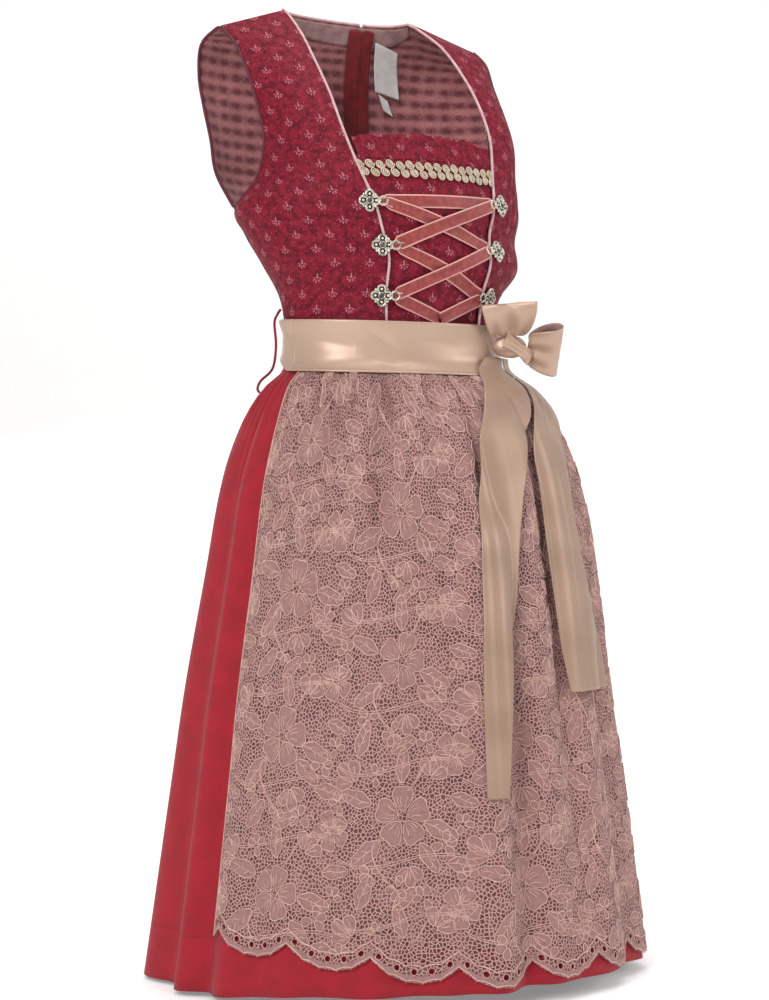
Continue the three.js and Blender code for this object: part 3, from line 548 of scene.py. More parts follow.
def finish_print():
    """Printed cotton: pale fans on a half-drop lattice over mottled crimson."""
    f = Finish("print", Roughness=0.7, Specular_IOR_Level=0.25)
    u, v = f.flat()
    for shift in (0, 0.5):
        x = ((u / PRINT_ACROSS + shift) % 1 - 0.5) * PRINT_ACROSS
        y = ((v / PRINT_DOWN + shift) % 1 - 0.5) * PRINT_DOWN
        reach = (x * x + y * y).power(0.5)
        turn = f.node("Math", {"operation": "ARCTAN2"}, {0: x, 1: y + 2})
        petals = (Number(f, turn.outputs[0]) * 11).sine().rising(-0.1, 0.5)
        crown = petals * reach.rising(2.0, 2.8) * reach.falling(4.8, 5.8) * y.rising(-1.6, -0.6)
        stem = x.size().falling(0.4, 0.9) * y.rising(-5.4, -5) * y.falling(-1, -0.4)
        dot = ((x * x + (y + 0.6) * (y + 0.6)).power(0.5)).falling(1.0, 1.6)
        figure = crown.most(stem).most(dot)
        fan = fan.most(figure) if shift else figure
    where = f.point(u, v)
    speck = f.cells(where, 1 / 6.5, "F1").outputs[0]
    sparkle = Number(f, speck).falling(0.06, 0.11)
    cloud = f.noise(where, 1 / 9, 3.0).rising(0.35, 0.7)
    ground = f.blend(cloud, srgb(126, 9, 36), srgb(88, 4, 24))
    ground = f.blend(sparkle * 0.5, ground, srgb(190, 96, 120))
    grain = f.noise(where, 1 / 0.9, 2.0)
    pale = f.blend(grain.rising(0.3, 0.6), srgb(160, 58, 80), srgb(214, 146, 158))
    f.shade(Base_Color=f.blend(fan * 0.62, ground, pale), Roughness=0.64 + 0.14 * cloud)
    f.bump(weave(u, v, 0.7) + 0.35 * fan, 0.12, 0.5)
    return f.material


def finish_reverse():
    """The wrong side of the print: dusty, with the figures showing through faintly."""
    f = Finish("print_reverse", Roughness=0.85, Sheen_Weight=0.2)
    u, v = f.flat()
    where = f.point(u, v)
    band = (v * (2 * math.pi / 16)).sine() * 0.5 + 0.5
    blot = (u * (2 * math.pi / 19)).sine() * 0.5 + 0.5
    wide = f.noise(where, 1 / 22, 2.0)
    mottled = 0.6 * f.noise(where, 1 / 3.5, 4.0, 0.7) + 0.4 * wide
    dark = (0.3 * band + 0.3 * band * blot + 1.5 * mottled - 0.45).rising(0.05, 0.95)
    f.shade(Base_Color=f.blend(dark, srgb(184, 118, 118), srgb(100, 42, 50)))
    f.bump(weave(u, v, 0.7), 0.12, 0.5)
    return f.material


def plain_cloth(name, light, dark, pitch, deep, cloud=14, **constants):
    """A plain woven cloth whose colour drifts a little."""
    f = Finish(name, **constants)
    u, v = f.flat()
    where = f.point(u, v)
    drift = f.noise(where, 1 / cloud, 3.0).rising(0.3, 0.72)
    thread = weave(u, v, pitch)
    shade = (0.75 * drift + 0.35 * thread).least(1)
    f.shade(Base_Color=f.blend(shade, srgb(*light), srgb(*dark)))
    f.bump(thread, deep, 0.6)
    return f.material


def finish_skirt():
    """Matt red cotton, with the hem's blind stitch line."""
    f = Finish("skirt", Roughness=0.84, Sheen_Weight=0.06, Sheen_Roughness=0.5)
    u, v = f.flat()
    where = f.point(u, v)
    drift = f.noise(where, 1 / 30, 3.0).rising(0.3, 0.75)
    hem_line = (v - 58).size().falling(0.6, 1.8)
    dash = ((u / 4) % 1).rising(0.35, 0.5)
    colour = f.blend(drift, srgb(158, 10, 34), srgb(142, 8, 28))
    colour = f.blend(hem_line * dash * 0.5, colour, srgb(96, 6, 18))
    f.shade(Base_Color=colour)
    f.bump(weave(u, v, 0.8) - 1.2 * hem_line, 0.16, 0.6)
    return f.material


def finish_satin(name, light, dark, roughness, metallic):
    """Champagne satin: smooth and glossy, with a fine rib across it."""
    f = Finish(name, Metallic=metallic, Sheen_Weight=0.08, Sheen_Roughness=0.3)
    u, v = f.flat()
    drift = f.noise(f.point(u * 0.4, v), 1 / 60, 1.0).rising(0.3, 0.7)
    float_thread = f.noise(f.point(u * 0.12, v), 1 / 0.5, 1.0)
    colour = f.blend(drift, srgb(*light), srgb(*dark))
    f.shade(Base_Color=colour, Roughness=roughness + 0.06 * float_thread + 0.05 * drift)
    f.bump(float_thread, 0.03, 0.3)
    return f.material


def finish_ribbon():
    """Sheer ribbon with pale woven edges."""
    f = Finish("ribbon", Roughness=0.5, Sheen_Weight=0.4, Sheen_Roughness=0.4)
    u, v = f.flat()
    edge = (v - RIBBON_WIDTH / 2).size().rising(5.5, 6.5)
    rib = (u * (2 * math.pi / 1.1)).sine() * 0.5 + 0.5
    drift = f.noise(f.point(u, v), 1 / 6, 2.0).rising(0.35, 0.7)
    body = f.blend(drift, srgb(168, 72, 68), srgb(140, 50, 50))
    f.shade(Base_Color=f.blend(edge * 0.8, body, srgb(228, 170, 160)))
    f.shade(Alpha=(0.8 + 0.2 * edge - 0.08 * rib).least(1))
    f.bump(rib, 0.12, 0.5)
    return f.material


def finish_lace():
    """The lace ground: an uneven net of fine threads with open cells."""
    f = Finish("lace", Roughness=0.75, Sheen_Weight=0.1, Sheen_Roughness=0.5)
    u, v = f.flat()
    across, above = f.flat("edge")
    lobe = (across % LOBE) - LOBE / 2
    rise = above - EYELET_ABOVE_HEM
    eyelet = ((lobe * lobe + rise * rise).power(0.5)).rising(EYELET_RADIUS - 0.3, EYELET_RADIUS + 0.1)
    bend = f.noise(f.point(u, v), 1 / 12, 2.0)
    where = f.point(u + 3 * bend, v + 3 * bend)
    gap = Number(f, f.cells(where, 1 / 4.2).outputs[0])
    thread = gap.falling(0.1, 0.19)
    twist = f.noise(f.point(u, v), 1 / 0.8, 2.0)
    worked = f.noise(f.point(u, v), 1 / 26, 2.0).rising(0.46, 0.56)
    colour = f.blend(thread, srgb(116, 74, 77), srgb(186, 142, 134))
    f.shade(Base_Color=f.blend(twist.rising(0.35, 0.65) * 0.4, colour, srgb(160, 114, 109)))
    f.shade(Alpha=(0.2 + 0.5 * worked + 0.9 * thread).least(1) * eyelet)
    f.bump(thread + 0.3 * twist, 0.5, 0.8)
    return f.material


def finish_lace_fill():
    """The close-worked petals and leaves, with their threads lying side by side."""
    f = Finish("lace_fill", Roughness=0.7, Sheen_Weight=0.1, Sheen_Roughness=0.5)
    u, v = f.flat()
    wander = f.noise(f.point(u, v), 1 / 8, 2.0)
    thread = ((u * 0.8 + v * 0.5 + 5 * wander) * (2 * math.pi / 1.3)).sine() * 0.5 + 0.5
    dark = f.noise(f.point(u, v), 1 / 5, 3.0).rising(0.5, 0.75)
    colour = f.blend(thread, srgb(132, 92, 90), srgb(172, 130, 123))
    f.shade(Base_Color=f.blend(dark * 0.6, colour, srgb(112, 74, 75)))
    f.bump(thread, 0.35, 0.7)
    return f.material


def thread_finish(name, light, dark, pitch=1.2, deep=0.25, **constants):
    """Cord or thread, twisted all along."""
    f = Finish(name, **constants)
    place = f.place()
    parts = [Number(f, s) for s in f.node("SeparateXYZ", inputs={0: place}).outputs]
    along = parts[0] + parts[1] * 0.7 + parts[2] * 1.3
    twist = (along * (2 * math.pi / (pitch * MM))).sine() * 0.5 + 0.5
    drift = f.noise(place, 1 / (9 * MM), 2.0).rising(0.3, 0.7)
    f.shade(Base_Color=f.blend(0.6 * drift + 0.35 * twist, srgb(*light), srgb(*dark)))
    f.bump(twist, deep, 0.7)
    return f.material


def metal_finish(name, light, dark, roughness, **constants):
    """Cast metal, darker in its hollows and a little worn."""
    f = Finish(name, **constants)
    place = f.place()
    tarnish = f.noise(place, 1 / (4 * MM), 3.0).rising(0.42, 0.7)
    f.shade(Base_Color=f.blend(tarnish, srgb(*light), srgb(*dark)), Roughness=roughness + 0.2 * tarnish)
    f.bump(f.noise(place, 1 / (1.1 * MM), 2.0), 0.12, 0.4)
    return f.material


LOOKS = {
    "print": finish_print(),
    "print_reverse": finish_reverse(),
    "skirt": finish_skirt(),
    "skirt_inside": plain_cloth("skirt_inside", (120, 14, 30), (84, 6, 18), 0.8, 0.12, Roughness=0.9),
    "satin": finish_satin("satin", (191, 162, 142), (179, 149, 129), 0.35, 0.24),
    # The tails' satin is the band's satin painted darker, a little rougher, as painted shade: the tails
    # hang lit less than the band
    "satin_tail_shaded": finish_satin("satin_tail_shaded", (168, 139, 120), (156, 127, 108), 0.4, 0.25),
    "satin_under": plain_cloth("satin_under", (190, 160, 152), (168, 136, 128), 0.6, 0.08, Roughness=0.7),
    "ribbon": finish_ribbon(),
    "lace": finish_lace(),
    "lace_fill": finish_lace_fill(),
    "lining": plain_cloth("lining", (140, 98, 104), (112, 72, 80), 0.6, 0.08, 40, Roughness=0.7),
    "facing": plain_cloth("facing", (170, 134, 132), (132, 96, 98), 0.8, 0.12, Roughness=0.85),
    "zip": plain_cloth("zip", (136, 24, 30), (96, 10, 16), 1.2, 0.2, Roughness=0.7),
    "label": plain_cloth("label", (226, 222, 220), (204, 198, 196), 0.5, 0.06, Roughness=0.6),
    "lace_cord": thread_finish(
        "lace_cord", (222, 181, 169), (184, 140, 130), Roughness=0.65, Sheen_Weight=0.2
    ),
    "lash": thread_finish("lash", (206, 158, 150), (170, 120, 116), Roughness=0.7),
    "piping": thread_finish("piping", (222, 186, 184), (186, 140, 144), 2.2, 0.3, Roughness=0.6),
    "binding": thread_finish("binding", (104, 26, 48), (66, 12, 30), 1.6, 0.2, Roughness=0.65),
    "cord": thread_finish("cord", (150, 22, 40), (108, 10, 24), 1.6, 0.3, Roughness=0.7),
    "stitch": thread_finish("stitch", (176, 142, 120), (150, 116, 98), 0.8, 0.15, Roughness=0.6),
    "scroll": thread_finish("scroll", (214, 200, 178), (178, 160, 134), 1.4, 0.3, Roughness=0.75),
    "silver": metal_finish("silver", (212, 204, 190), (132, 124, 110), 0.27, Metallic=0.85),
    "recess": metal_finish("recess", (20, 18, 18), (8, 8, 8), 0.5, Metallic=0.3),
    "stud": metal_finish("stud", (96, 94, 96), (52, 50, 52), 0.28, Metallic=0.8),
    "pearl": metal_finish("pearl", (232, 222, 204), (206, 192, 170), 0.25, Coat_Weight=0.5),
}


# What each cloth shows: its right side and its wrong side
PRINTED = ["print", "print_reverse"]
SATIN = ["satin", "satin_under"]


def finished(name, mesh, looks, replaces=()):
    """A piece of the garment from its mesh, riding on the garment and standing for its solids."""
    piece = bpy.data.objects.new(name, mesh)
    bpy.context.scene.collection.objects.link(piece)
    for look in looks:
        mesh.materials.append(LOOKS[look])
    mesh.shade_smooth()
    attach(piece, "root")
    if replaces:
        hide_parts(*replaces)
    return piece


def measured_flat(grid, across, down):
    """Lengths along each row and down the middle column of a grid of points, for the cloth's own map."""
    rows = []
    for j in range(down + 1):
        run = [0.0]
        for i in range(across):
            run.append(run[-1] + (grid[j][i + 1] - grid[j][i]).length)
        rows.append(run)
    middle = across // 2
    column = [0.0]
    for j in range(down):
        column.append(column[-1] + (grid[j + 1][middle] - grid[j][middle]).length)
    return rows, column


def mesh_from(bm, name):
    mesh = bpy.data.meshes.new(name)
    bm.to_mesh(mesh)
    bm.free()
    return mesh


def write_map(bm, name, places):
    layer = bm.loops.layers.uv.new(name)
    for face in bm.faces:
        for loop in face.loops:
            loop[layer].uv = places[loop.vert]


def cloth(
    node, surface, across, down, thick, looks, flip=True, relief=None, flat=None, edge_map=None,
    declared=True, name=None, replaced=None,
):
    """A thin shell over surface(s, t), given in millimetres, with its thickness on the inner side.

    flip says that the surface runs clockwise seen from outside, as the cut of that piece does. relief
    raises it, by its place on the flat cloth. flat gives that place, or else it is measured.
    """
    bm = bmesh.new()
    bmesh.ops.create_grid(bm, x_segments=across, y_segments=down, size=0.5)
    at = {v: (round((v.co.x + 0.5) * across), round((0.5 - v.co.y) * down)) for v in bm.verts}
    if not flip:
        bmesh.ops.reverse_faces(bm, faces=bm.faces)
    grid = [[surface(i / across, j / down) for i in range(across + 1)] for j in range(down + 1)]
    rows, column = measured_flat(grid, across, down)
    for vert, (i, j) in at.items():
        vert.co = grid[j][i] * MM
    places = {}
    for vert, (i, j) in at.items():
        places[vert] = flat(i / across, j / down, grid[j][i]) if flat else (rows[j][i], column[j])
    write_map(bm, "cloth", places)
    if edge_map:
        write_map(bm, "edge", {vert: edge_map(i / across, grid[j][i]) for vert, (i, j) in at.items()})
    if relief:
        bm.normal_update()
        moves = {vert: vert.normal * relief(*places[vert]) * MM for vert in bm.verts}
        for vert, move in moves.items():
            vert.co += move
    area = sum(face.calc_area() for face in bm.faces)
    mesh = mesh_from(bm, name or f"{node}_cloth")
    piece = finished(mesh.name, mesh, looks, [node] if replaced is None else replaced)
    shell = piece.modifiers.new("thickness", "SOLIDIFY")
    shell.thickness = thick * MM
    shell.offset = -1
    shell.material_offset = len(looks) - 1
    shell.material_offset_rim = 0
    if declared:
        width = max(row[-1] for row in rows) * MM
        length = max(column[-1] * MM, area / width)
    return piece


def tubes(name, paths, radius, looks, replaced=(), closed=False, sides=2, taper=None):
    """Round cords along lists of points in millimetres, as one piece."""
    curve = bpy.data.curves.new(name, "CURVE")
    curve.dimensions = "3D"
    curve.bevel_depth = radius * MM
    curve.bevel_resolution = sides
    curve.use_fill_caps = True
    for path in paths:
        spline = curve.splines.new("POLY")
        spline.points.add(len(path) - 1)
        for k, (point, spot) in enumerate(zip(spline.points, path)):
            point.co = (*(spot * MM), 1)
            point.radius = taper(k / (len(path) - 1)) if taper else 1
        spline.use_cyclic_u = closed
    holder = bpy.data.objects.new(f"{name}_path", curve)
    bpy.context.scene.collection.objects.link(holder)
    view = bpy.context.evaluated_depsgraph_get()
    mesh = bpy.data.meshes.new_from_object(holder.evaluated_get(view))
    mesh.name = name
    mesh.materials.clear()
    bpy.data.objects.remove(holder)
    bpy.data.curves.remove(curve)
    return finished(name, mesh, looks, replaced)


def crease(u, v, start, stop, spread, deep):
    """Depth of one crease at a place: it runs from start to stop and fades at both ends."""
    run_u, run_v = stop[0] - start[0], stop[1] - start[1]
    length = math.hypot(run_u, run_v)
    along = ((u - start[0]) * run_u + (v - start[1]) * run_v) / length**2
    if not -0.15 < along < 1.15:
        return 0.0
    aside = abs((u - start[0]) * run_v - (v - start[1]) * run_u) / length
    if aside > 3 * spread:
        return 0.0
    fade = math.sin(math.pi * clamp((along + 0.15) / 1.3)) ** 0.7
    return deep * fade * math.exp(-((aside / spread) ** 2))


def creased(table):
    return lambda u, v: -sum(crease(u, v, *row) for row in table)


# Where the bodice pulls: start and stop on the flat cloth from the inner edge, spread and depth
PULLS = {
    "front_right": (
        ((8, 345), (74, 318), 5, 1.5),
        ((8, 352), (84, 352), 4, 1.3),
        ((8, 338), (62, 286), 5, 1.2),
        ((10, 296), (70, 268), 6, 0.9),
        ((10, 250), (66, 226), 6, 0.8),
        ((30, 392), (96, 384), 5, 1.0),
        ((84, 240), (112, 300), 7, 0.9),
    ),
    "front_left": (
        ((24, 216), (28, 286), 4, 1.4),
        ((42, 208), (44, 292), 4.5, 1.5),
        ((60, 214), (58, 296), 5, 1.3),
        ((80, 226), (76, 300), 5, 1.1),
        ((10, 240), (52, 246), 5, 0.8),
        ((10, 292), (70, 306), 6, 0.9),
        ((12, 348), (80, 366), 5, 1.1),
        ((96, 260), (84, 340), 6, 1.0),
    ),
    "back_right": (
        ((20, 300), (120, 280), 8, 1.3),
        ((30, 352), (130, 338), 7, 1.4),
        ((16, 386), (110, 378), 6, 1.2),
        ((90, 150), (120, 230), 8, 0.9),
    ),
    "back_left": (
        ((24, 292), (110, 276), 8, 1.2),
        ((18, 346), (118, 334), 7, 1.4),
        ((30, 382), (120, 372), 6, 1.2),
        ((84, 160), (108, 236), 8, 0.9),
    ),
}
PANEL_EDGE = 0.003


def build_bodice():
    for panel in PANEL_ROWS:
        def surface(s, t, panel=panel):
            return panel_point(panel, mix(PANEL_EDGE, 1 - PANEL_EDGE, s), t)

        cloth(
            f"bodice_{panel}", surface, 60, 90, BODICE_CLOTH, PRINTED,
            flip=OUTWARD[panel] < 0, relief=creased(PULLS[panel]),
        )


INSERT_TOP = -184
RUFFLE_TOP = -164
RUFFLE_WAVES = 15
BRAID_ROWS = ((-193.8, 0.0), (-203.4, 0.5))
SCROLLS_IN_ROW = 16
SCROLL_RADIUS = 5.3


def build_insert():
    def insert(s, t):
        return insert_point(s, mix(INSERT_TOP, WAIST_SEAM + 1, t))

    puckers = []
    for k in range(14):
        puckers.append(((12 + 13 * k + 3 * (k % 3), 22), (10 + 13 * k, 64 + 14 * (k % 4)), 3.2, 0.8))
    cloth("bodice_insert", insert, 90, 80, BODICE_CLOTH, PRINTED, relief=creased(puckers))

    def ruffle(s, t):
        wander = s + 0.012 * math.sin(9 * s)
        swing = math.cos(2 * math.pi * RUFFLE_WAVES * wander)
        curl = 0.6 * math.cos(2 * math.pi * 2.3 * RUFFLE_WAVES * wander + 1)
        top = RUFFLE_TOP + 9 * math.sin(math.pi * s) ** 0.6 + 0.8 * math.sin(17 * s) + 0.5 * swing
        ripple = (swing + curl * t) * mix(2.0, 0.5, t**0.8)
        return insert_point(mix(0.04, 0.96, s), mix(top, INSERT_TOP - 3, t), 0.6 + ripple)

    cloth("insert_ruffle", ruffle, 360, 14, 0.8, PRINTED)

    scrolls = []
    for row, (z, shift) in enumerate(BRAID_ROWS):
        for k in range(SCROLLS_IN_ROW):
            centre = (k + 0.35 + 0.5 * shift) / (SCROLLS_IN_ROW + 0.1)
            sway = 0.8 * math.sin(2.7 * k + row)
            path = []
            for step in range(40):
                turn = step / 39
                angle = (1 if row else -1) * (turn * 4.6 * math.pi) + 1.6 * row
                reach = SCROLL_RADIUS * mix(1, 0.1, turn)
                s = centre + reach * math.cos(angle) / 196
                lift = 2.2 + 0.7 * turn + 0.5 * row
                path.append(insert_point(clamp(s, 0.01, 0.99), z + sway + reach * math.sin(angle), lift))
            scrolls.append(path)
    tubes("insert_braid_scrolls", scrolls, 0.85, ["scroll"], ["insert_braid"])


def past_edge(panel, s, t, top, reach):
    """A point just past a panel's edge, square to it and level with the middle of its cloth."""
    e = 0.02

    def middle(a, b):
        return panel_off(panel, a, b, -BODICE_CLOTH / 2)

    inside = middle(s, t + e) if top else middle(s + e if s < 0.5 else s - e, t)
    along = middle(s + e, t) - middle(s - e, t) if top else middle(s, t + e) - middle(s, t - e)
    along.normalize()
    away = middle(s, t) - inside
    away -= along * away.dot(along)
    return middle(s, t) + away.normalized() * reach


ARMPIT = 0.6


def build_edges():
    for side in ("right", "left"):
        front, back = f"front_{side}", f"back_{side}"
        reach = PIPING_RADIUS + 0.1
        path = [past_edge(front, 0, mix(0.995, 0.02, k / 60), False, reach) for k in range(61)]
        path += [past_edge(back, mix(NECK_SHARE, 0.01, k / 24), 0, True, reach) for k in range(1, 25)]
        name = f"piping_{side}"
        tubes(f"{name}_cord", [path], PIPING_RADIUS, ["piping"], [name], sides=4)
        reach = BINDING_RADIUS - 0.2
        down = [past_edge(front, 1, mix(ARMPIT - 0.01, 0.015, k / 40), False, reach) for k in range(41)]
        down += [past_edge(back, 1, mix(0.015, ARMPIT - 0.01, k / 40), False, reach) for k in range(41)]
        name = f"armhole_binding_{side}"
        tubes(f"{name}_roll", [down], BINDING_RADIUS, ["binding"], [name], closed=True, sides=4)


FACING_T = 0.052
ZIP_HALF, ZIP_TOP, ZIP_BOTTOM = 16, 0.012, 0.72
ZIP_LENGTH, TOOTH_PITCH = 215, 3.2


def back_inside(offset, t, inward):
    panel = "back_right" if offset < 0 else "back_left"
    reach = (panel_point(panel, 0, t) - panel_point(panel, 0.2, t)).length / 0.2
    return panel_off(panel, abs(offset) / reach, t, -inward)


def build_back_neck():
    def facing(s, t):
        panel = "back_right" if s < 0.5 else "back_left"
        side = abs(2 * s - 1)
        deep = FACING_T * (1 - 0.75 * side**2.2) + 0.012
        return panel_off(panel, side * (NECK_SHARE - 0.03), mix(0.006, deep, t), -(BODICE_CLOTH + 0.6))

    cloth("neck_facing", facing, 80, 8, 1, ["facing"], flip=False)

    def zip_tape(s, t):
        peak = 0.012 * abs(abs(2 * s - 1) - 0.5) * max(0, 1 - 12 * t)
        place = mix(-ZIP_HALF, ZIP_HALF, s)
        rise = 1.2 * math.exp(-((place / 2.2) ** 2))
        return back_inside(place, mix(ZIP_TOP, ZIP_BOTTOM, t) + peak, BODICE_CLOTH + 2.2 + rise)

    cloth("zip_tape", zip_tape, 26, 90, 1, ["zip"], flip=False)
    teeth = []
    for k in range(int(ZIP_LENGTH / TOOTH_PITCH)):
        t = mix(ZIP_TOP + 0.02, ZIP_BOTTOM, k * TOOTH_PITCH / ZIP_LENGTH)
        side = 1 if k % 2 else -1
        teeth.append([back_inside(side * x, t, BODICE_CLOTH + 3.9) for x in (-1.1, 0.5, 1.6)])
    tubes("zip_teeth", teeth, 0.75, ["zip"], sides=1)

    def label(low, high, top, bottom):
        def surface(s, t):
            lift = BODICE_CLOTH + 2.4 + 1.6 * s * t
            return back_inside(mix(low, high, s) + 6 * t, mix(top, bottom, t) + 0.02 * s, lift)

        return surface

    neck = label(20, 52, 0.045, 0.185)
    cloth("neck_label", neck, 20, 20, 0.7, ["label"], flip=False)
    cloth("size_label", label(31, 43, 0.192, 0.245), 8, 8, 0.7, ["label"], flip=False)
    stitches = []
    for k in range(16):
        s = mix(0.05, 0.93, k / 15)
        stitches.append([neck(s + d, 0.05) + Vector((0, -0.9, 0)) for d in (0, 0.035)])
    tubes("label_stitches", stitches, 0.25, ["label"], sides=0)


RING_AT = 15.5
HOOK_HEIGHTS = {"right": (-237, -285, -340), "left": (-231, -284, -336)}
HOOK_IN_FROM_EDGE = {"right": 4, "left": 7}
HOOK_OUT = {"right": (1.2, 1.4, 2.4), "left": (1.5, 1.4, 2.7)}
PETAL_AT, PETAL_RADIUS, PETAL_CORD = 7.2, 4.3, 1.45


def hook_mesh(name):
    """A cast flower: four C-shaped petals round a stud on a dark ground, with the lacing ring beside it."""
    bm = bmesh.new()

    def take(before, material, *moves):
        new = [v for v in bm.verts if v not in before]
        for move in moves:
            bmesh.ops.transform(bm, matrix=move, verts=new)
        for face in bm.faces:
            if face.verts[0] not in before:
                face.material_index = material
                face.smooth = True
        return set(bm.verts)

    def hoop(centre, radius, cord, start, stop, steps, material, height):
        before = set(bm.verts)
        sides = 8
        closed = stop - start > 359
        tip = bmesh.ops.create_circle(bm, segments=sides, radius=cord, cap_ends=not closed)
        upright = Matrix.Rotation(math.pi / 2, 3, "X")
        bmesh.ops.rotate(bm, cent=(0, 0, 0), matrix=upright, verts=tip["verts"])
        bmesh.ops.translate(bm, vec=(radius, 0, 0), verts=tip["verts"])
        edges = list({e for v in tip["verts"] for e in v.link_edges})
        faces = [f for f in bm.faces if f.verts[0] in tip["verts"]]
        bmesh.ops.spin(
            bm, geom=edges + faces, cent=(0, 0, 0), axis=(0, 0, 1),
            angle=math.radians(stop - start), steps=steps, use_merge=closed,
        )
        turn = Matrix.Rotation(math.radians(start), 4, "Z")
        take(before, material, turn, Matrix.Translation((*centre, height)))

    def ball(centre, size, material, height):
        before = set(bm.verts)
        bmesh.ops.create_uvsphere(bm, u_segments=12, v_segments=8, radius=1)
        take(before, material, Matrix.Diagonal((*size, 1)), Matrix.Translation((*centre, height)))

    ball((0, 0), (11.2, 11.2, 1.1), 1, 1.1)
    for k in range(4):
        angle = 90 * k
        centre = (PETAL_AT * wave(angle), PETAL_AT * sine(angle))
        hoop(centre, PETAL_RADIUS, PETAL_CORD, angle - 138, angle + 138, 18, 0, 1.9)
        ball(centre, (1.5, 1.5, 1.3), 3, 2.2)
        between = (9.4 * wave(angle + 45), 9.4 * sine(angle + 45))
        ball(between, (1.7, 1.7, 1.5), 0, 1.9)
    hoop((0, 0), 3.4, 0.9, 0, 360, 24, 0, 2.8)
    ball((0, 0), (3.0, 3.0, 2.4), 2, 2.6)
    hoop((RING_AT, 0), 4.7, 1.3, 0, 360, 28, 0, 1.5)
    hoop((RING_AT - 3.2, 0), 3.0, 1.2, 100, 260, 10, 0, 1.5)
    bmesh.ops.remove_doubles(bm, verts=bm.verts, dist=0.001)
    bmesh.ops.recalc_face_normals(bm, faces=bm.faces)
    bmesh.ops.scale(bm, vec=(MM, MM, MM), verts=bm.verts)
    return mesh_from(bm, name)


def place_hooks():
    """Where each hook lies: its flat frame, by side and number, with the lacing ring's centre."""
    frames, rings = {}, {}
    for side, heights in HOOK_HEIGHTS.items():
        panel = f"front_{side}"
        for number, z in enumerate(heights):
            t = edge_at(panel, z)
            edge = panel_point(panel, 0, t)
            s = HOOK_IN_FROM_EDGE[side] / ((edge - panel_point(panel, 0.1, t)).length / 0.1)
            place = panel_off(panel, s, t, HOOK_OUT[side][number])
            normal = panel_normal(panel, s, t)
            inward = edge - panel_point(panel, 0.05, t)
            inward = (inward - normal * inward.dot(normal)).normalized()
            turn = Matrix((inward, normal.cross(inward), normal)).transposed().to_4x4()
            frames[side, number] = Matrix.Translation(place * MM) @ turn
            rings[side, number] = place + inward * RING_AT + normal * 1.5
    return frames, rings


HOOK_FRAMES, RINGS_AT = place_hooks()


def build_hooks():
    for (side, number), place in HOOK_FRAMES.items():
        node = f"hook_{side}_{number + 1}"
        mesh = hook_mesh(f"{node}_cast")
        mesh.transform(place)
        finished(mesh.name, mesh, ["silver", "recess", "stud", "pearl"], [node])


LACING = (
    ("lacing_1", ("right", 0), ("left", 0), 2),
    ("lacing_2", ("right", 0), ("left", 1), 3.7),
    ("lacing_3", ("left", 0), ("right", 1), 5.4),
    ("lacing_4", ("right", 1), ("left", 2), 2.3),
    ("lacing_5", ("left", 1), ("right", 2), 5.4),
    ("lacing_6", ("right", 2), None, 2),
    ("lacing_7", ("left", 2), None, 3.8),
)
LACING_FOOT = (0.52, -364)
RING_LEVEL = 6.4


def share_on_insert(point):
    right, left = insert_point(0, point.z), insert_point(1, point.z)
    return (point.x - right.x) / (left.x - right.x), point.z


def build_lacing():
    for node, start, stop, level in LACING:
        from_s, from_z = share_on_insert(RINGS_AT[start])
        to_s, to_z = share_on_insert(RINGS_AT[stop]) if stop else LACING_FOOT
        width = (insert_point(0, from_z) - insert_point(1, from_z)).length
        run = Vector(((to_s - from_s) * width, to_z - from_z))
        length = run.length
        crossways = Vector((-run.y, run.x)) / length

        def ribbon(s, t):
            near_ring = min(s, 1 - s) * length if stop else s * length
            narrow = mix(0.42, 1, smoothstep(near_ring, 0, 9))
            height = mix(RING_LEVEL, level, smoothstep(near_ring, 2, 20))
            sag = 0.5 * math.sin(5 * s + 2 * t) + 0.35 * math.cos(math.pi * 2 * t)
            half = RIBBON_WIDTH / 2 * narrow * (1 - 2 * t)
            share = from_s + (s * run.x + half * crossways.x) / width
            return insert_point(share, from_z + s * run.y + half * crossways.y, height + sag)

        def flat(s, t, _):
            return s * length, t * RIBBON_WIDTH

        cloth(
            node, ribbon, 60, 10, RIBBON_CLOTH, ["ribbon"],
            flip=to_s > from_s, flat=flat,
        )


def build_skirt():
    for node, start in (("skirt_front", -90), ("skirt_back", 90)):
        def surface(s, t, start=start):
            phi = mix(start + 0.05, start + 179.95, s)
            hem = SKIRT_HEM.at("hem", turned(phi))
            return cloth_point(phi, mix(WAIST_SEAM - 0.4, hem, t))

        def flat(s, t, point):
            phi = mix(start, start + 180, s)
            return phi * 5, point.z - SKIRT_HEM.at("hem", turned(phi))

        sides = ["skirt", "skirt_inside"]
        cloth(node, surface, 390, 54, SKIRT_CLOTH, sides, flat=flat)


def lace_hem_at(phi):
    cusp = abs(math.cos(math.pi * (phi - SCALLOP_AT) / SCALLOP_DEGREES))
    return LACE_HEM.at("hem", phi) + SCALLOP_DEPTH * (1 - cusp**0.7)


APRON_TOP = -422
LINING_SHORTER = 40


def apron_surface(out, hem_at):
    def surface(s, t):
        phi = mix(-APRON_EDGE, APRON_EDGE, s)
        return cloth_point(phi, mix(APRON_TOP, hem_at(phi), t), out)

    return surface


def apron_flat(s, t, point):
    return mix(-APRON_EDGE, APRON_EDGE, s) * APRON_MM_PER_DEGREE, point.z


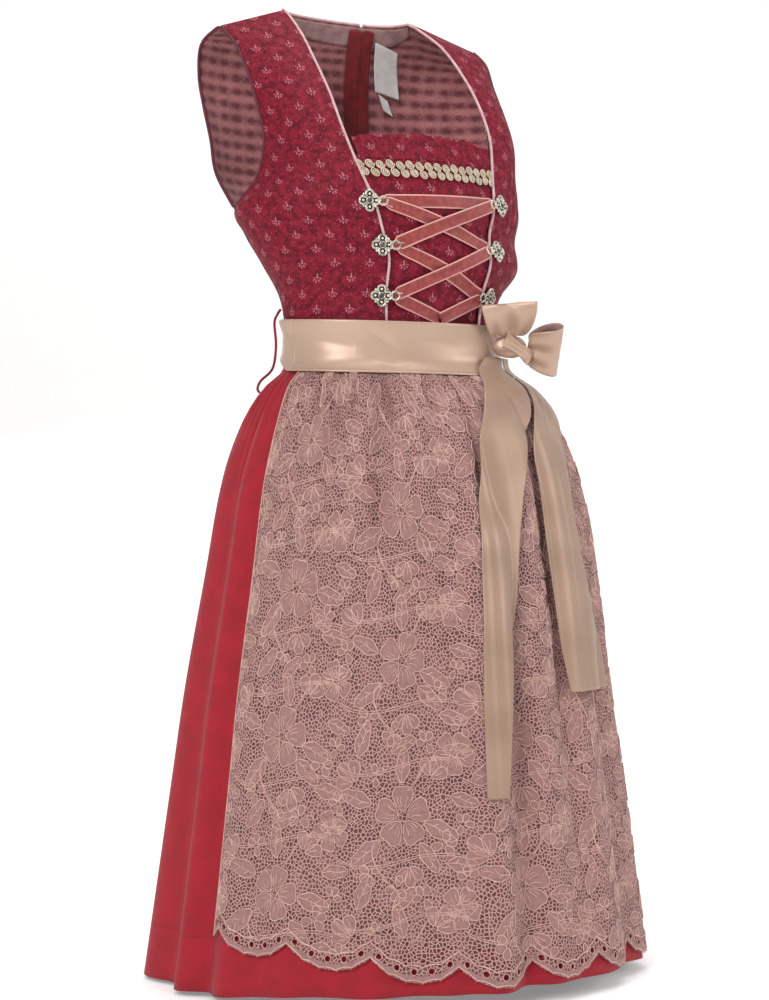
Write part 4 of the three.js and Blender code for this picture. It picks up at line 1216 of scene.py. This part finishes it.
def build_apron():
    def lining_hem(phi):
        return LACE_HEM.at("hem", phi) + LINING_SHORTER

    lining = apron_surface(LINING_OUT, lining_hem)
    cloth(
        "apron_lining", lining, 300, 42, LINING_CLOTH, ["lining"], flat=apron_flat,
    )

    def edge_map(s, point):
        phi = mix(-APRON_EDGE, APRON_EDGE, s)
        return (phi - SCALLOP_AT + SCALLOP_DEGREES / 2) * APRON_MM_PER_DEGREE, point.z - lace_hem_at(phi)

    worked = build_lace_work() + build_lace_hem()
    lace = apron_surface(LACE_OUT, lace_hem_at)
    cloth(
        "apron_lace", lace, 420, 70, LACE_CLOTH, ["lace"], flat=apron_flat, edge_map=edge_map,
    )


# One repeat of the lace: what is worked, where its root stands, which way it points, and its size
LACE_REPEAT = (
    ("flower", 0, 0, 12, 1.0),
    ("flower", 68, 62, 50, 0.72),
    ("bud", 34, 40, 62, 1.0),
    ("bud", -52, 34, 150, 1.1),
    ("bud", 12, -52, 280, 0.9),
    ("leaf", 30, -8, -14, 1.0),
    ("leaf", 26, -26, -52, 0.9),
    ("leaf", -30, 12, 158, 0.95),
    ("leaf", -24, -22, 222, 1.05),
    ("leaf", 6, 34, 96, 0.9),
    ("leaf", -10, 66, 30, 0.85),
    ("leaf", -46, 62, 60, 0.9),
    ("leaf", 62, 18, -8, 0.8),
    ("leaf", -62, -14, 190, 0.8),
    ("leaf", 50, -52, 350, 0.85),
    ("spray", 52, -30, 20, 1.0),
    ("spray", -36, -58, 200, 1.0),
    ("spray", -70, 12, 110, 0.9),
    ("spray", 30, 78, 130, 0.9),
    ("spray", -30, 44, 110, 0.8),
    ("spray", 74, -8, 60, 0.8),
    ("spray", -4, -76, 250, 0.9),
)
REPEAT_ACROSS, REPEAT_DOWN = 150, 160
# Sinuous double stems in one repeat: start, the two bends and the end
STEMS = (
    ((-75, -44), (-30, -70), (20, -30), (75, -44)),
    ((-75, 52), (-40, 20), (24, 76), (75, 52)),
    ((10, 26), (30, 34), (20, 62), (60, 58)),
    ((-18, -24), (-44, -24), (-30, -60), (0, -80)),
)
PETAL_STEPS = 16
PETAL_CELLS = 4
STEM_APART = 2.3


def petal_outline(length, width, notch):
    """A rounded petal from its root, with a notch in its tip, as places along and across."""
    outline = []
    for k in range(PETAL_STEPS):
        a = 2 * math.pi * k / PETAL_STEPS
        along = length * (0.5 - 0.5 * math.cos(a))
        along -= notch * length * math.exp(-(((a - math.pi) / 0.45) ** 2))
        across = width / 2 * math.sin(a) * (0.5 + 0.5 * math.sin(a / 2) ** 2)
        outline.append((along, across))
    return outline


def leaf_outline(length, width):
    outline = []
    for k in range(PETAL_STEPS):
        a = 2 * math.pi * k / PETAL_STEPS
        lobes = 1 + 0.14 * math.cos(5 * a)
        across = width / 2 * math.sin(a) * abs(math.sin(a)) ** 0.25 * lobes
        outline.append((length * (0.5 - 0.5 * math.cos(a)), across))
    return outline


def lace_shapes(kind, size):
    """The closed shapes of one motif: root, heading and outline; and the veins inside them."""
    shapes, veins = [], []
    if kind == "flower":
        for k in range(5):
            shapes.append((6 * size, 72 * k, petal_outline(26 * size, 30 * size, 0.12)))
            for turn in (-16, 8, 20):
                veins.append((10 * size, 72 * k + turn, [(0, 0), (5 * size, 0.8), (10 * size, 0)]))
        ring = [(5 * size * wave(24 * k), 5 * size * sine(24 * k)) for k in range(16)]
        veins.append((0, 0, ring))
    elif kind == "bud":
        for turn, share in ((-44, 0.85), (0, 1), (44, 0.85)):
            shapes.append((3, turn, petal_outline(24 * share * size, 17 * size, 0.06)))
            veins.append((7 * size, turn, [(0, 0), (6 * size, 0), (11 * size * share, 0.6)]))
    elif kind == "leaf":
        shapes.append((0, 0, leaf_outline(40 * size, 18 * size)))
        veins.append((0, 0, [(0, 0), (12 * size, 1), (24 * size, -0.6), (36 * size, 0)]))
        for along, side in ((10, 1), (17, -1), (22, 1), (28, -1)):
            veins.append((0, 0, [(along * size, 0), ((along + 5) * size, side * 5 * size)]))
    else:
        for turn in (-62, 0, 62, 180):
            shapes.append((2, turn, petal_outline(12 * size, 11 * size, 0)))
    return shapes, veins


def turned_place(u, v, heading, along, across):
    ahead, aside = wave(heading), sine(heading)
    return u + along * ahead - across * aside, v + along * aside + across * ahead


LACE_TOP = -427
LACE_WORK_ABOVE_HEM = 17
WORK_EDGE = 73.4


def on_lace(u, v, lift):
    """A place of the worked lace on the apron, kept inside its edges."""
    phi = clamp(u / APRON_MM_PER_DEGREE, -WORK_EDGE, WORK_EDGE)
    lowest = lace_hem_at(phi) + LACE_WORK_ABOVE_HEM
    return cloth_point(phi, clamp(v, lowest, LACE_TOP), LACE_OUT + lift)


def inside_lace(u, v):
    phi = u / APRON_MM_PER_DEGREE
    if abs(phi) > WORK_EDGE + 1:
        return False
    return lace_hem_at(clamp(phi, -APRON_EDGE, APRON_EDGE)) + LACE_WORK_ABOVE_HEM - 3 < v < LACE_TOP + 3


def build_lace_work():
    """Petals and leaves worked close, and the raised cords round them, on a half-drop repeat."""
    draw = random.Random(11)
    outlines, lines, fills = [], [], []
    for column in range(-3, 4):
        for row in range(-1, 5):
            base_u = REPEAT_ACROSS * column + 20
            base_v = -500 - REPEAT_DOWN * row - (REPEAT_DOWN / 2 if column % 2 else 0)
            for kind, du, dv, heading, size in LACE_REPEAT:
                u, v = base_u + du + draw.uniform(-4, 4), base_v + dv + draw.uniform(-4, 4)
                heading += draw.uniform(-14, 14)
                shapes, veins = lace_shapes(kind, size * draw.uniform(0.94, 1.08))
                if not inside_lace(u, v):
                    continue
                for root, turn, outline in shapes:
                    flat = [turned_place(u, v, heading + turn, root + a, c) for a, c in outline]
                    if sum(inside_lace(*place) for place in flat) < 0.6 * len(flat):
                        continue
                    outlines.append([on_lace(a, b, 0.7) for a, b in flat + flat[:1]])
                    fills.append(flat)
                for root, turn, vein in veins:
                    flat = [turned_place(u, v, heading + turn, root + a, c) for a, c in vein]
                    if all(inside_lace(*place) for place in flat):
                        lines.append([on_lace(a, b, 0.75) for a, b in flat])
            for start, bend, second, stop in STEMS:
                for aside in (-STEM_APART / 2, STEM_APART / 2):
                    path = []
                    for k in range(19):
                        s = k / 18
                        weights = ((1 - s) ** 3, 3 * s * (1 - s) ** 2, 3 * s * s * (1 - s), s**3)
                        bends = (start, bend, second, stop)
                        a, b = (sum(w * p[i] for w, p in zip(weights, bends)) for i in (0, 1))
                        path.append((base_u + a, base_v + b + aside))
                    inside = [on_lace(a, b, 0.5) for a, b in path if inside_lace(a, b)]
                    if len(inside) > 4:
                        lines.append(inside)
    work = bmesh.new()
    places = {}
    for flat in fills:
        middle = [sum(place[i] for place in flat) / len(flat) for i in (0, 1)]
        patch = bmesh.ops.create_grid(work, x_segments=PETAL_CELLS, y_segments=PETAL_CELLS, size=1)
        for vert in patch["verts"]:
            x, y = vert.co.x, vert.co.y
            reach = max(abs(x), abs(y))
            turn = (math.atan2(y, x) / (2 * math.pi) % 1) * len(flat)
            k = int(turn) % len(flat)
            edge = [mix(flat[k][i], flat[(k + 1) % len(flat)][i], turn - int(turn)) for i in (0, 1)]
            place = tuple(mix(middle[i], edge[i], reach) for i in (0, 1))
            places[vert] = place
            vert.co = on_lace(*place, 0.35 + 0.35 * (1 - reach * reach)) * MM
    write_map(work, "cloth", places)
    petals = finished("lace_petals", mesh_from(work, "lace_petals"), ["lace_fill"])
    edges = tubes("lace_outlines", outlines, 0.62, ["lace_cord"], sides=0)
    stems = tubes("lace_stems", lines, 0.5, ["lace_cord"], sides=0)
    return [petals, edges, stems]


def lobed(phi, deep):
    return deep * abs(math.cos(math.pi * (phi - SCALLOP_AT) / SCALLOP_DEGREES * LOBES_IN_SCALLOP)) ** 0.8


def build_lace_hem():
    """The scalloped hem: an inner lobed cord, a close-worked outer tier, and its lashes."""

    def inner(phi):
        return lace_hem_at(phi) + 15.5 + lobed(phi, 2.6)

    def outer(phi):
        return lace_hem_at(phi) + 0.4 + lobed(phi, 2.4)

    def hem_line(height_at, lift):
        count = 760
        spots = [mix(-APRON_EDGE, APRON_EDGE, k / count) for k in range(count + 1)]
        return [cloth_point(phi, height_at(phi), LACE_OUT + lift) for phi in spots]

    rings = []
    for k in range(-2, 6):
        for i in range(LOBES_IN_SCALLOP):
            phi = SCALLOP_AT + (k - 0.5 + (i + 0.5) / LOBES_IN_SCALLOP) * SCALLOP_DEGREES
            if abs(phi) > APRON_EDGE - 3:
                continue
            ring = []
            for step in range(15):
                angle = 360 * step / 14
                across = (EYELET_RADIUS + 0.6) * wave(angle) / APRON_MM_PER_DEGREE
                up = (EYELET_RADIUS + 0.6) * sine(angle)
                height = lace_hem_at(phi) + EYELET_ABOVE_HEM + up
                ring.append(cloth_point(phi + across, height, LACE_OUT + 0.5))
            rings.append(ring)
    sides = []
    for phi in (-APRON_EDGE, APRON_EDGE):
        heights = [mix(APRON_TOP, lace_hem_at(phi), k / 90) for k in range(91)]
        sides.append([cloth_point(phi, z, LACE_OUT + 0.2) for z in heights])
    cords = [hem_line(inner, 0.6), hem_line(outer, 0.4), *sides]
    heavy = tubes("lace_hem_cords", cords, 0.7, ["lace_cord"], sides=1)
    light = tubes("lace_eyelet_cords", rings, 0.5, ["lace_cord"], sides=0)

    def tier(s, t):
        phi = mix(-APRON_EDGE + 0.1, APRON_EDGE - 0.1, s)
        return cloth_point(phi, mix(lace_hem_at(phi) + 7.2, outer(phi), t), LACE_OUT + 0.75)

    band = cloth(
        "lace_hem_tier", tier, 560, 3, 0.5, ["lace_fill"],
        flat=apron_flat, declared=False, replaced=[],
    )
    draw = random.Random(5)
    lashes = []
    count = 620
    for k in range(count):
        phi = mix(-APRON_EDGE + 0.3, APRON_EDGE - 0.3, k / count) + draw.uniform(-0.05, 0.05)
        drop = draw.uniform(1.6, 3.0)
        lean = draw.uniform(-0.2, 0.2)
        root = cloth_point(phi, outer(phi), LACE_OUT)
        tip = cloth_point(phi + lean, outer(phi) - drop, LACE_OUT + draw.uniform(0, 0.8))
        lashes.append([root, tip])
    lash = tubes("lace_lashes", lashes, 0.22, ["lash"], sides=0)
    return [heavy, light, band, lash]


BAND_OUT = Table("t out", (0, 7), (0.35, 4.6), (0.7, 5.2), (1, 8.2))


def band_point(phi, t, height):
    towards_front = 0.5 + 0.5 * wave(phi)
    z = mix(-358, -369, towards_front) - height * t
    return ring_point(turned(phi), z, BAND_OUT.at("out", t))


# Soft creases in the band: start and stop on the flat satin, spread and depth
BAND_PULLS = (
    ((96, 12), (138, 44), 5, 1.6),
    ((90, 34), (126, 54), 4, 1.2),
    ((150, 18), (196, 24), 7, 0.8),
    ((205, 40), (262, 34), 6, 0.7),
    ((250, 10), (292, 46), 5, 1.3),
    ((268, 6), (306, 40), 4, 1.4),
    ((284, 30), (312, 22), 4, 1.2),
    ((20, 20), (70, 30), 6, 1.0),
    ((340, 14), (390, 36), 5, 1.0),
)


def band_relief(u, v):
    swell = 0.9 * math.sin(u / 31 + v / 40) + 0.6 * math.sin(u / 17 - v / 25 + 1)
    return creased(BAND_PULLS)(u, v) + swell * math.sin(math.pi * clamp(v / BAND_HEIGHT))


def build_band():
    def front(s, t):
        return band_point(mix(-BAND_END, BAND_END, s), t, BAND_HEIGHT)

    cloth(
        "apron_band", front, 240, 26, SATIN_CLOTH, SATIN,
        relief=band_relief,
    )

    def back(s, t):
        phi = mix(BAND_END + 0.3, 360 - BAND_END - 0.3, s)
        end = smoothstep(abs(phi - 180), 70, 180 - BAND_END)
        return band_point(phi, t, mix(TIE_HEIGHT, BAND_HEIGHT, end))

    pulls = []
    for k in range(9):
        pulls.append(((30 + 48 * k, 8 + 9 * (k % 3)), (74 + 48 * k, 34 - 7 * (k % 4)), 5, 1.1))
    cloth("apron_tie", back, 200, 20, SATIN_CLOTH, SATIN, relief=creased(pulls))
    stitches = []
    for k in range(230):
        phi = mix(-BAND_END + 1, BAND_END - 1, k / 229)
        stitches.append([band_point(phi + d, 0.955, BAND_HEIGHT) + Vector((0, -0.3, 0)) for d in (0, 0.35)])
    tubes("band_stitches", stitches, 0.3, ["stitch"], sides=0)


KNOT_PHI, KNOT_Z, KNOT_OUT, KNOT_TURN = 44, -392, 24.5, -20
KNOT_HALF = (20, 11, 13)
KNOT_WRAP = 40
KNOT_CENTRE = ring_point(KNOT_PHI, KNOT_Z, KNOT_OUT)
# Bow loops: their way out of the knot and their breadth's, length, width, swell and root
BOW_LOOPS = {
    "bow_loop_front": ((-0.3, -0.5, 0.85), (0.9, -0.42, 0.12), 42, 64, 12, 14.5),
    "bow_loop_side": ((0.89, -0.36, -0.05), (-0.06, -0.53, 0.85), 38, 62, 15, 21.5),
}


def build_bow():
    bm = bmesh.new()
    bmesh.ops.create_uvsphere(bm, u_segments=48, v_segments=32, radius=1)
    write_map(bm, "cloth", {v: (v.co.x * KNOT_WRAP, v.co.z * KNOT_WRAP) for v in bm.verts})
    for vert in bm.verts:
        angle = math.atan2(vert.co.z, vert.co.y)
        folds = 1 + 0.07 * math.cos(6 * angle + 2.6 * vert.co.x) * (1 - vert.co.x**2)
        long, deep, tall = KNOT_HALF
        vert.co = Vector((vert.co.x * long, vert.co.y * deep * folds, vert.co.z * tall * folds))
    turn = Matrix.Rotation(math.radians(KNOT_TURN), 3, "Z")
    bmesh.ops.rotate(bm, cent=(0, 0, 0), matrix=turn, verts=bm.verts)
    bmesh.ops.translate(bm, vec=KNOT_CENTRE, verts=bm.verts)
    bmesh.ops.scale(bm, vec=(MM, MM, MM), verts=bm.verts)
    mesh = mesh_from(bm, "bow_knot_wrap")
    finished(mesh.name, mesh, ["satin"], ["bow_knot"])

    def twist(s, t):
        """The wrap that crosses the knot from above on its left to below on its right."""
        lean = t - 0.5
        x = mix(-7, 24, s) + 7 * lean
        z = mix(8, -13, s) + 17 * lean * (1 - 0.35 * math.sin(math.pi * s))
        rise = 11.5 * math.sqrt(max(0.05, 1 - (x / 27) ** 2 - (z / 22) ** 2)) + 2.5 * wave(180 * lean)
        return KNOT_CENTRE + turn @ Vector((x, -rise - 1.2, z))

    pulls = (((4, 3), (34, 6), 2.4, -1.4), ((3, 11), (36, 12), 2.6, -1.6))
    cloth(
        "bow_knot", twist, 60, 24, SATIN_CLOTH, ["satin"], relief=creased(pulls),
        name="bow_twist_cloth", replaced=[],
    )
    for node, (away, across, length, width, swell, root) in BOW_LOOPS.items():
        away = Vector(away).normalized()
        across = Vector(across)
        across = (across - away * across.dot(away)).normalized()
        thick = away.cross(across)

        def loop(s, t):
            turn = s * 2 * math.pi
            half = math.sin(turn / 2)
            along = root + length * (1 - math.cos(turn)) / 2
            opened = swell * math.sin(turn) * (0.35 + 0.65 * half * half)
            spread = mix(0.45, 1, abs(half) ** 0.8)
            pleat = 2.2 * math.cos(5.5 * math.pi * t + 0.6) * (1 - abs(half)) ** 0.8
            pleat += 0.8 * math.sin(9 * t + 3 * s)
            dent = 5 * max(0.0, -math.sin(turn)) * math.exp(-(((t - 0.44) / 0.15) ** 2))
            place = KNOT_CENTRE + away * along + across * ((t - 0.5) * width * spread)
            return place + thick * (opened + dent + pleat * (1 if turn < math.pi else -1))

        cloth(
            node, loop, 120, 28, SATIN_CLOTH, SATIN,
            flip=False,
        )


TAILS = {
    "bow_tail_front": Table(
        "z start stop out",
        (-404.4, 30, 47, 13.3),
        (-434, 15.5, 42, 12),
        (-483, 3.8, 25.3, TAIL_OUT),
        (-546, -1.2, 14.9, TAIL_OUT),
        (-614, -4.7, 9.3, TAIL_OUT),
        (-707, -5.5, 5.4, TAIL_OUT),
        (-799, -6.2, 1, TAIL_OUT),
        (-884, -6.7, -1.6, TAIL_OUT),
    ),
    "bow_tail_side": Table(
        "z start stop out",
        (-404.4, 48.5, 66, 13.3),
        (-434, 45.5, 68, 12),
        (-483, 27.6, 48.7, TAIL_OUT),
        (-546, 22.5, 38, TAIL_OUT),
        (-614, 20.5, 36, TAIL_OUT),
        (-686, 21.6, 39.6, TAIL_OUT),
        (-723, 23, 44, TAIL_OUT),
        (-780, 24.5, 46, TAIL_OUT),
    ),
}
BRIDGE = 3.5
TAIL_PULLS = {
    "bow_tail_front": (
        ((20, 6), (30, 120), 6, 0.8),
        ((52, 10), (46, 150), 6, 0.7),
        ((30, 160), (22, 330), 8, 0.6),
    ),
    "bow_tail_side": (
        ((10, 6), (24, 130), 6, 0.9),
        ((34, 8), (40, 170), 6, 0.8),
        ((30, 160), (34, 340), 8, 0.6),
    ),
}


def tail_point(phi, z, out):
    height = max(fold(phi + turn, z) for turn in (-BRIDGE, 0, BRIDGE))
    return ring_point(phi, z, height + out)


def build_tails():
    for node, rows in TAILS.items():
        top, bottom = rows.rows[0][0], rows.rows[-1][0]

        def surface(s, t):
            z = mix(top, bottom, t)
            return tail_point(mix(rows.at("start", z), rows.at("stop", z), s), z, rows.at("out", z))

        # The tails' right side takes the darker copy of the satin: painted shade, for tails that hang lit
        # less than the band
        cloth(
            node, surface, 36, 110, SATIN_CLOTH, ["satin_tail_shaded", "satin_under"],
            relief=creased(TAIL_PULLS[node]),
        )


BELT_LOOP_RADIUS = 1.5
# How a belt loop runs down beside the band: height and distance from the ring
LOOP_RUN = (
    (-350, 3.2), (-356, 8), (-366, 12.5), (-392, 13), (-418, 14.5), (-432, 15), (-441, 11), (-446, 5.2),
)


def build_belt_loops():
    for side, phi in (("right", -104), ("left", 104)):
        path = [ring_point(phi, z, out) for z, out in LOOP_RUN]
        smooth = [through(path, k / 6) for k in range(6 * (len(path) - 1) + 1)]
        name = f"belt_loop_{side}"
        tubes(f"{name}_cord", [smooth], BELT_LOOP_RADIUS, ["cord"], [name], sides=4)


CAMERA_AZIMUTH = -28
CAMERA_PLACE = (-1.1935, -2.3393, -0.568)
CAMERA_LENS, CAMERA_SENSOR = 80.35, 36
FLOOR = -1107
WORLD_LIGHT = 0.42
LIT_PLACE = (0.03, -0.06, -0.5)
# Soft lamps: place and size in metres, power in watts
LAMPS = {
    "lamp_left": ((-3.0, -2.4, 1.5), 1.6, 100),
    "lamp_right": ((2.8, -2.2, 0.8), 1.6, 38),
    "lamp_top": ((0.2, -0.4, 2.4), 1.8, 40),
    "lamp_back": ((1.0, 3.2, 1.2), 2.4, 40),
}


def build_studio():
    """A pale floor that curves up into a backdrop, soft lamps, and the camera at the photo's angle."""
    bm = bmesh.new()
    bmesh.ops.create_grid(bm, x_segments=2, y_segments=60, size=0.5)
    turn = Matrix.Rotation(math.radians(CAMERA_AZIMUTH), 4, "Z")
    for vert in bm.verts:
        x, run = vert.co.x * 16, (vert.co.y + 0.5) * 14 - 6
        bend = clamp((run - 2.5) / 3.0) * math.pi / 2
        depth = min(run, 2.5) + 1.9 * math.sin(bend)
        height = 1.9 * (1 - math.cos(bend)) + max(0.0, run - 5.5)
        vert.co = turn @ Vector((x, depth, height + FLOOR * MM))
    mesh = mesh_from(bm, "studio_floor")
    mesh.shade_smooth()
    floor = bpy.data.objects.new("studio_floor", mesh)
    bpy.context.scene.collection.objects.link(floor)
    pale = Finish("pale_floor", Roughness=0.9, Emission_Color=(1, 1, 1, 1), Emission_Strength=0.22)
    grain = pale.noise(pale.place(), 3.0)
    pale.shade(Base_Color=pale.blend(grain, srgb(247, 246, 245), srgb(243, 242, 241)))
    mesh.materials.append(pale.material)
    for name, (place, size, power) in LAMPS.items():
        light = bpy.data.lights.new(name, "AREA")
        light.energy = power
        light.size = size
        lamp = bpy.data.objects.new(name, light)
        bpy.context.scene.collection.objects.link(lamp)
        lamp.location = place
        aim = Vector(LIT_PLACE) - Vector(place)
        lamp.rotation_euler = aim.to_track_quat("-Z", "Y").to_euler()
    world = bpy.data.worlds.new("studio")
    world.use_nodes = True
    world.node_tree.nodes["Background"].inputs[0].default_value = (1, 1, 1, 1)
    world.node_tree.nodes["Background"].inputs[1].default_value = WORLD_LIGHT
    scene = bpy.context.scene
    scene.world = world
    scene.view_settings.view_transform = "Standard"
    camera = bpy.data.cameras.new("photo_camera")
    camera.lens = CAMERA_LENS
    camera.sensor_width = CAMERA_SENSOR
    holder = bpy.data.objects.new("photo_camera", camera)
    scene.collection.objects.link(holder)
    holder.location = CAMERA_PLACE
    holder.rotation_euler = (math.pi / 2, 0, math.radians(CAMERA_AZIMUTH))
    scene.camera = holder


build_bodice()
build_insert()
build_edges()
build_back_neck()
build_hooks()
build_lacing()
build_skirt()
build_apron()
build_band()
build_bow()
build_tails()
build_belt_loops()
build_studio()
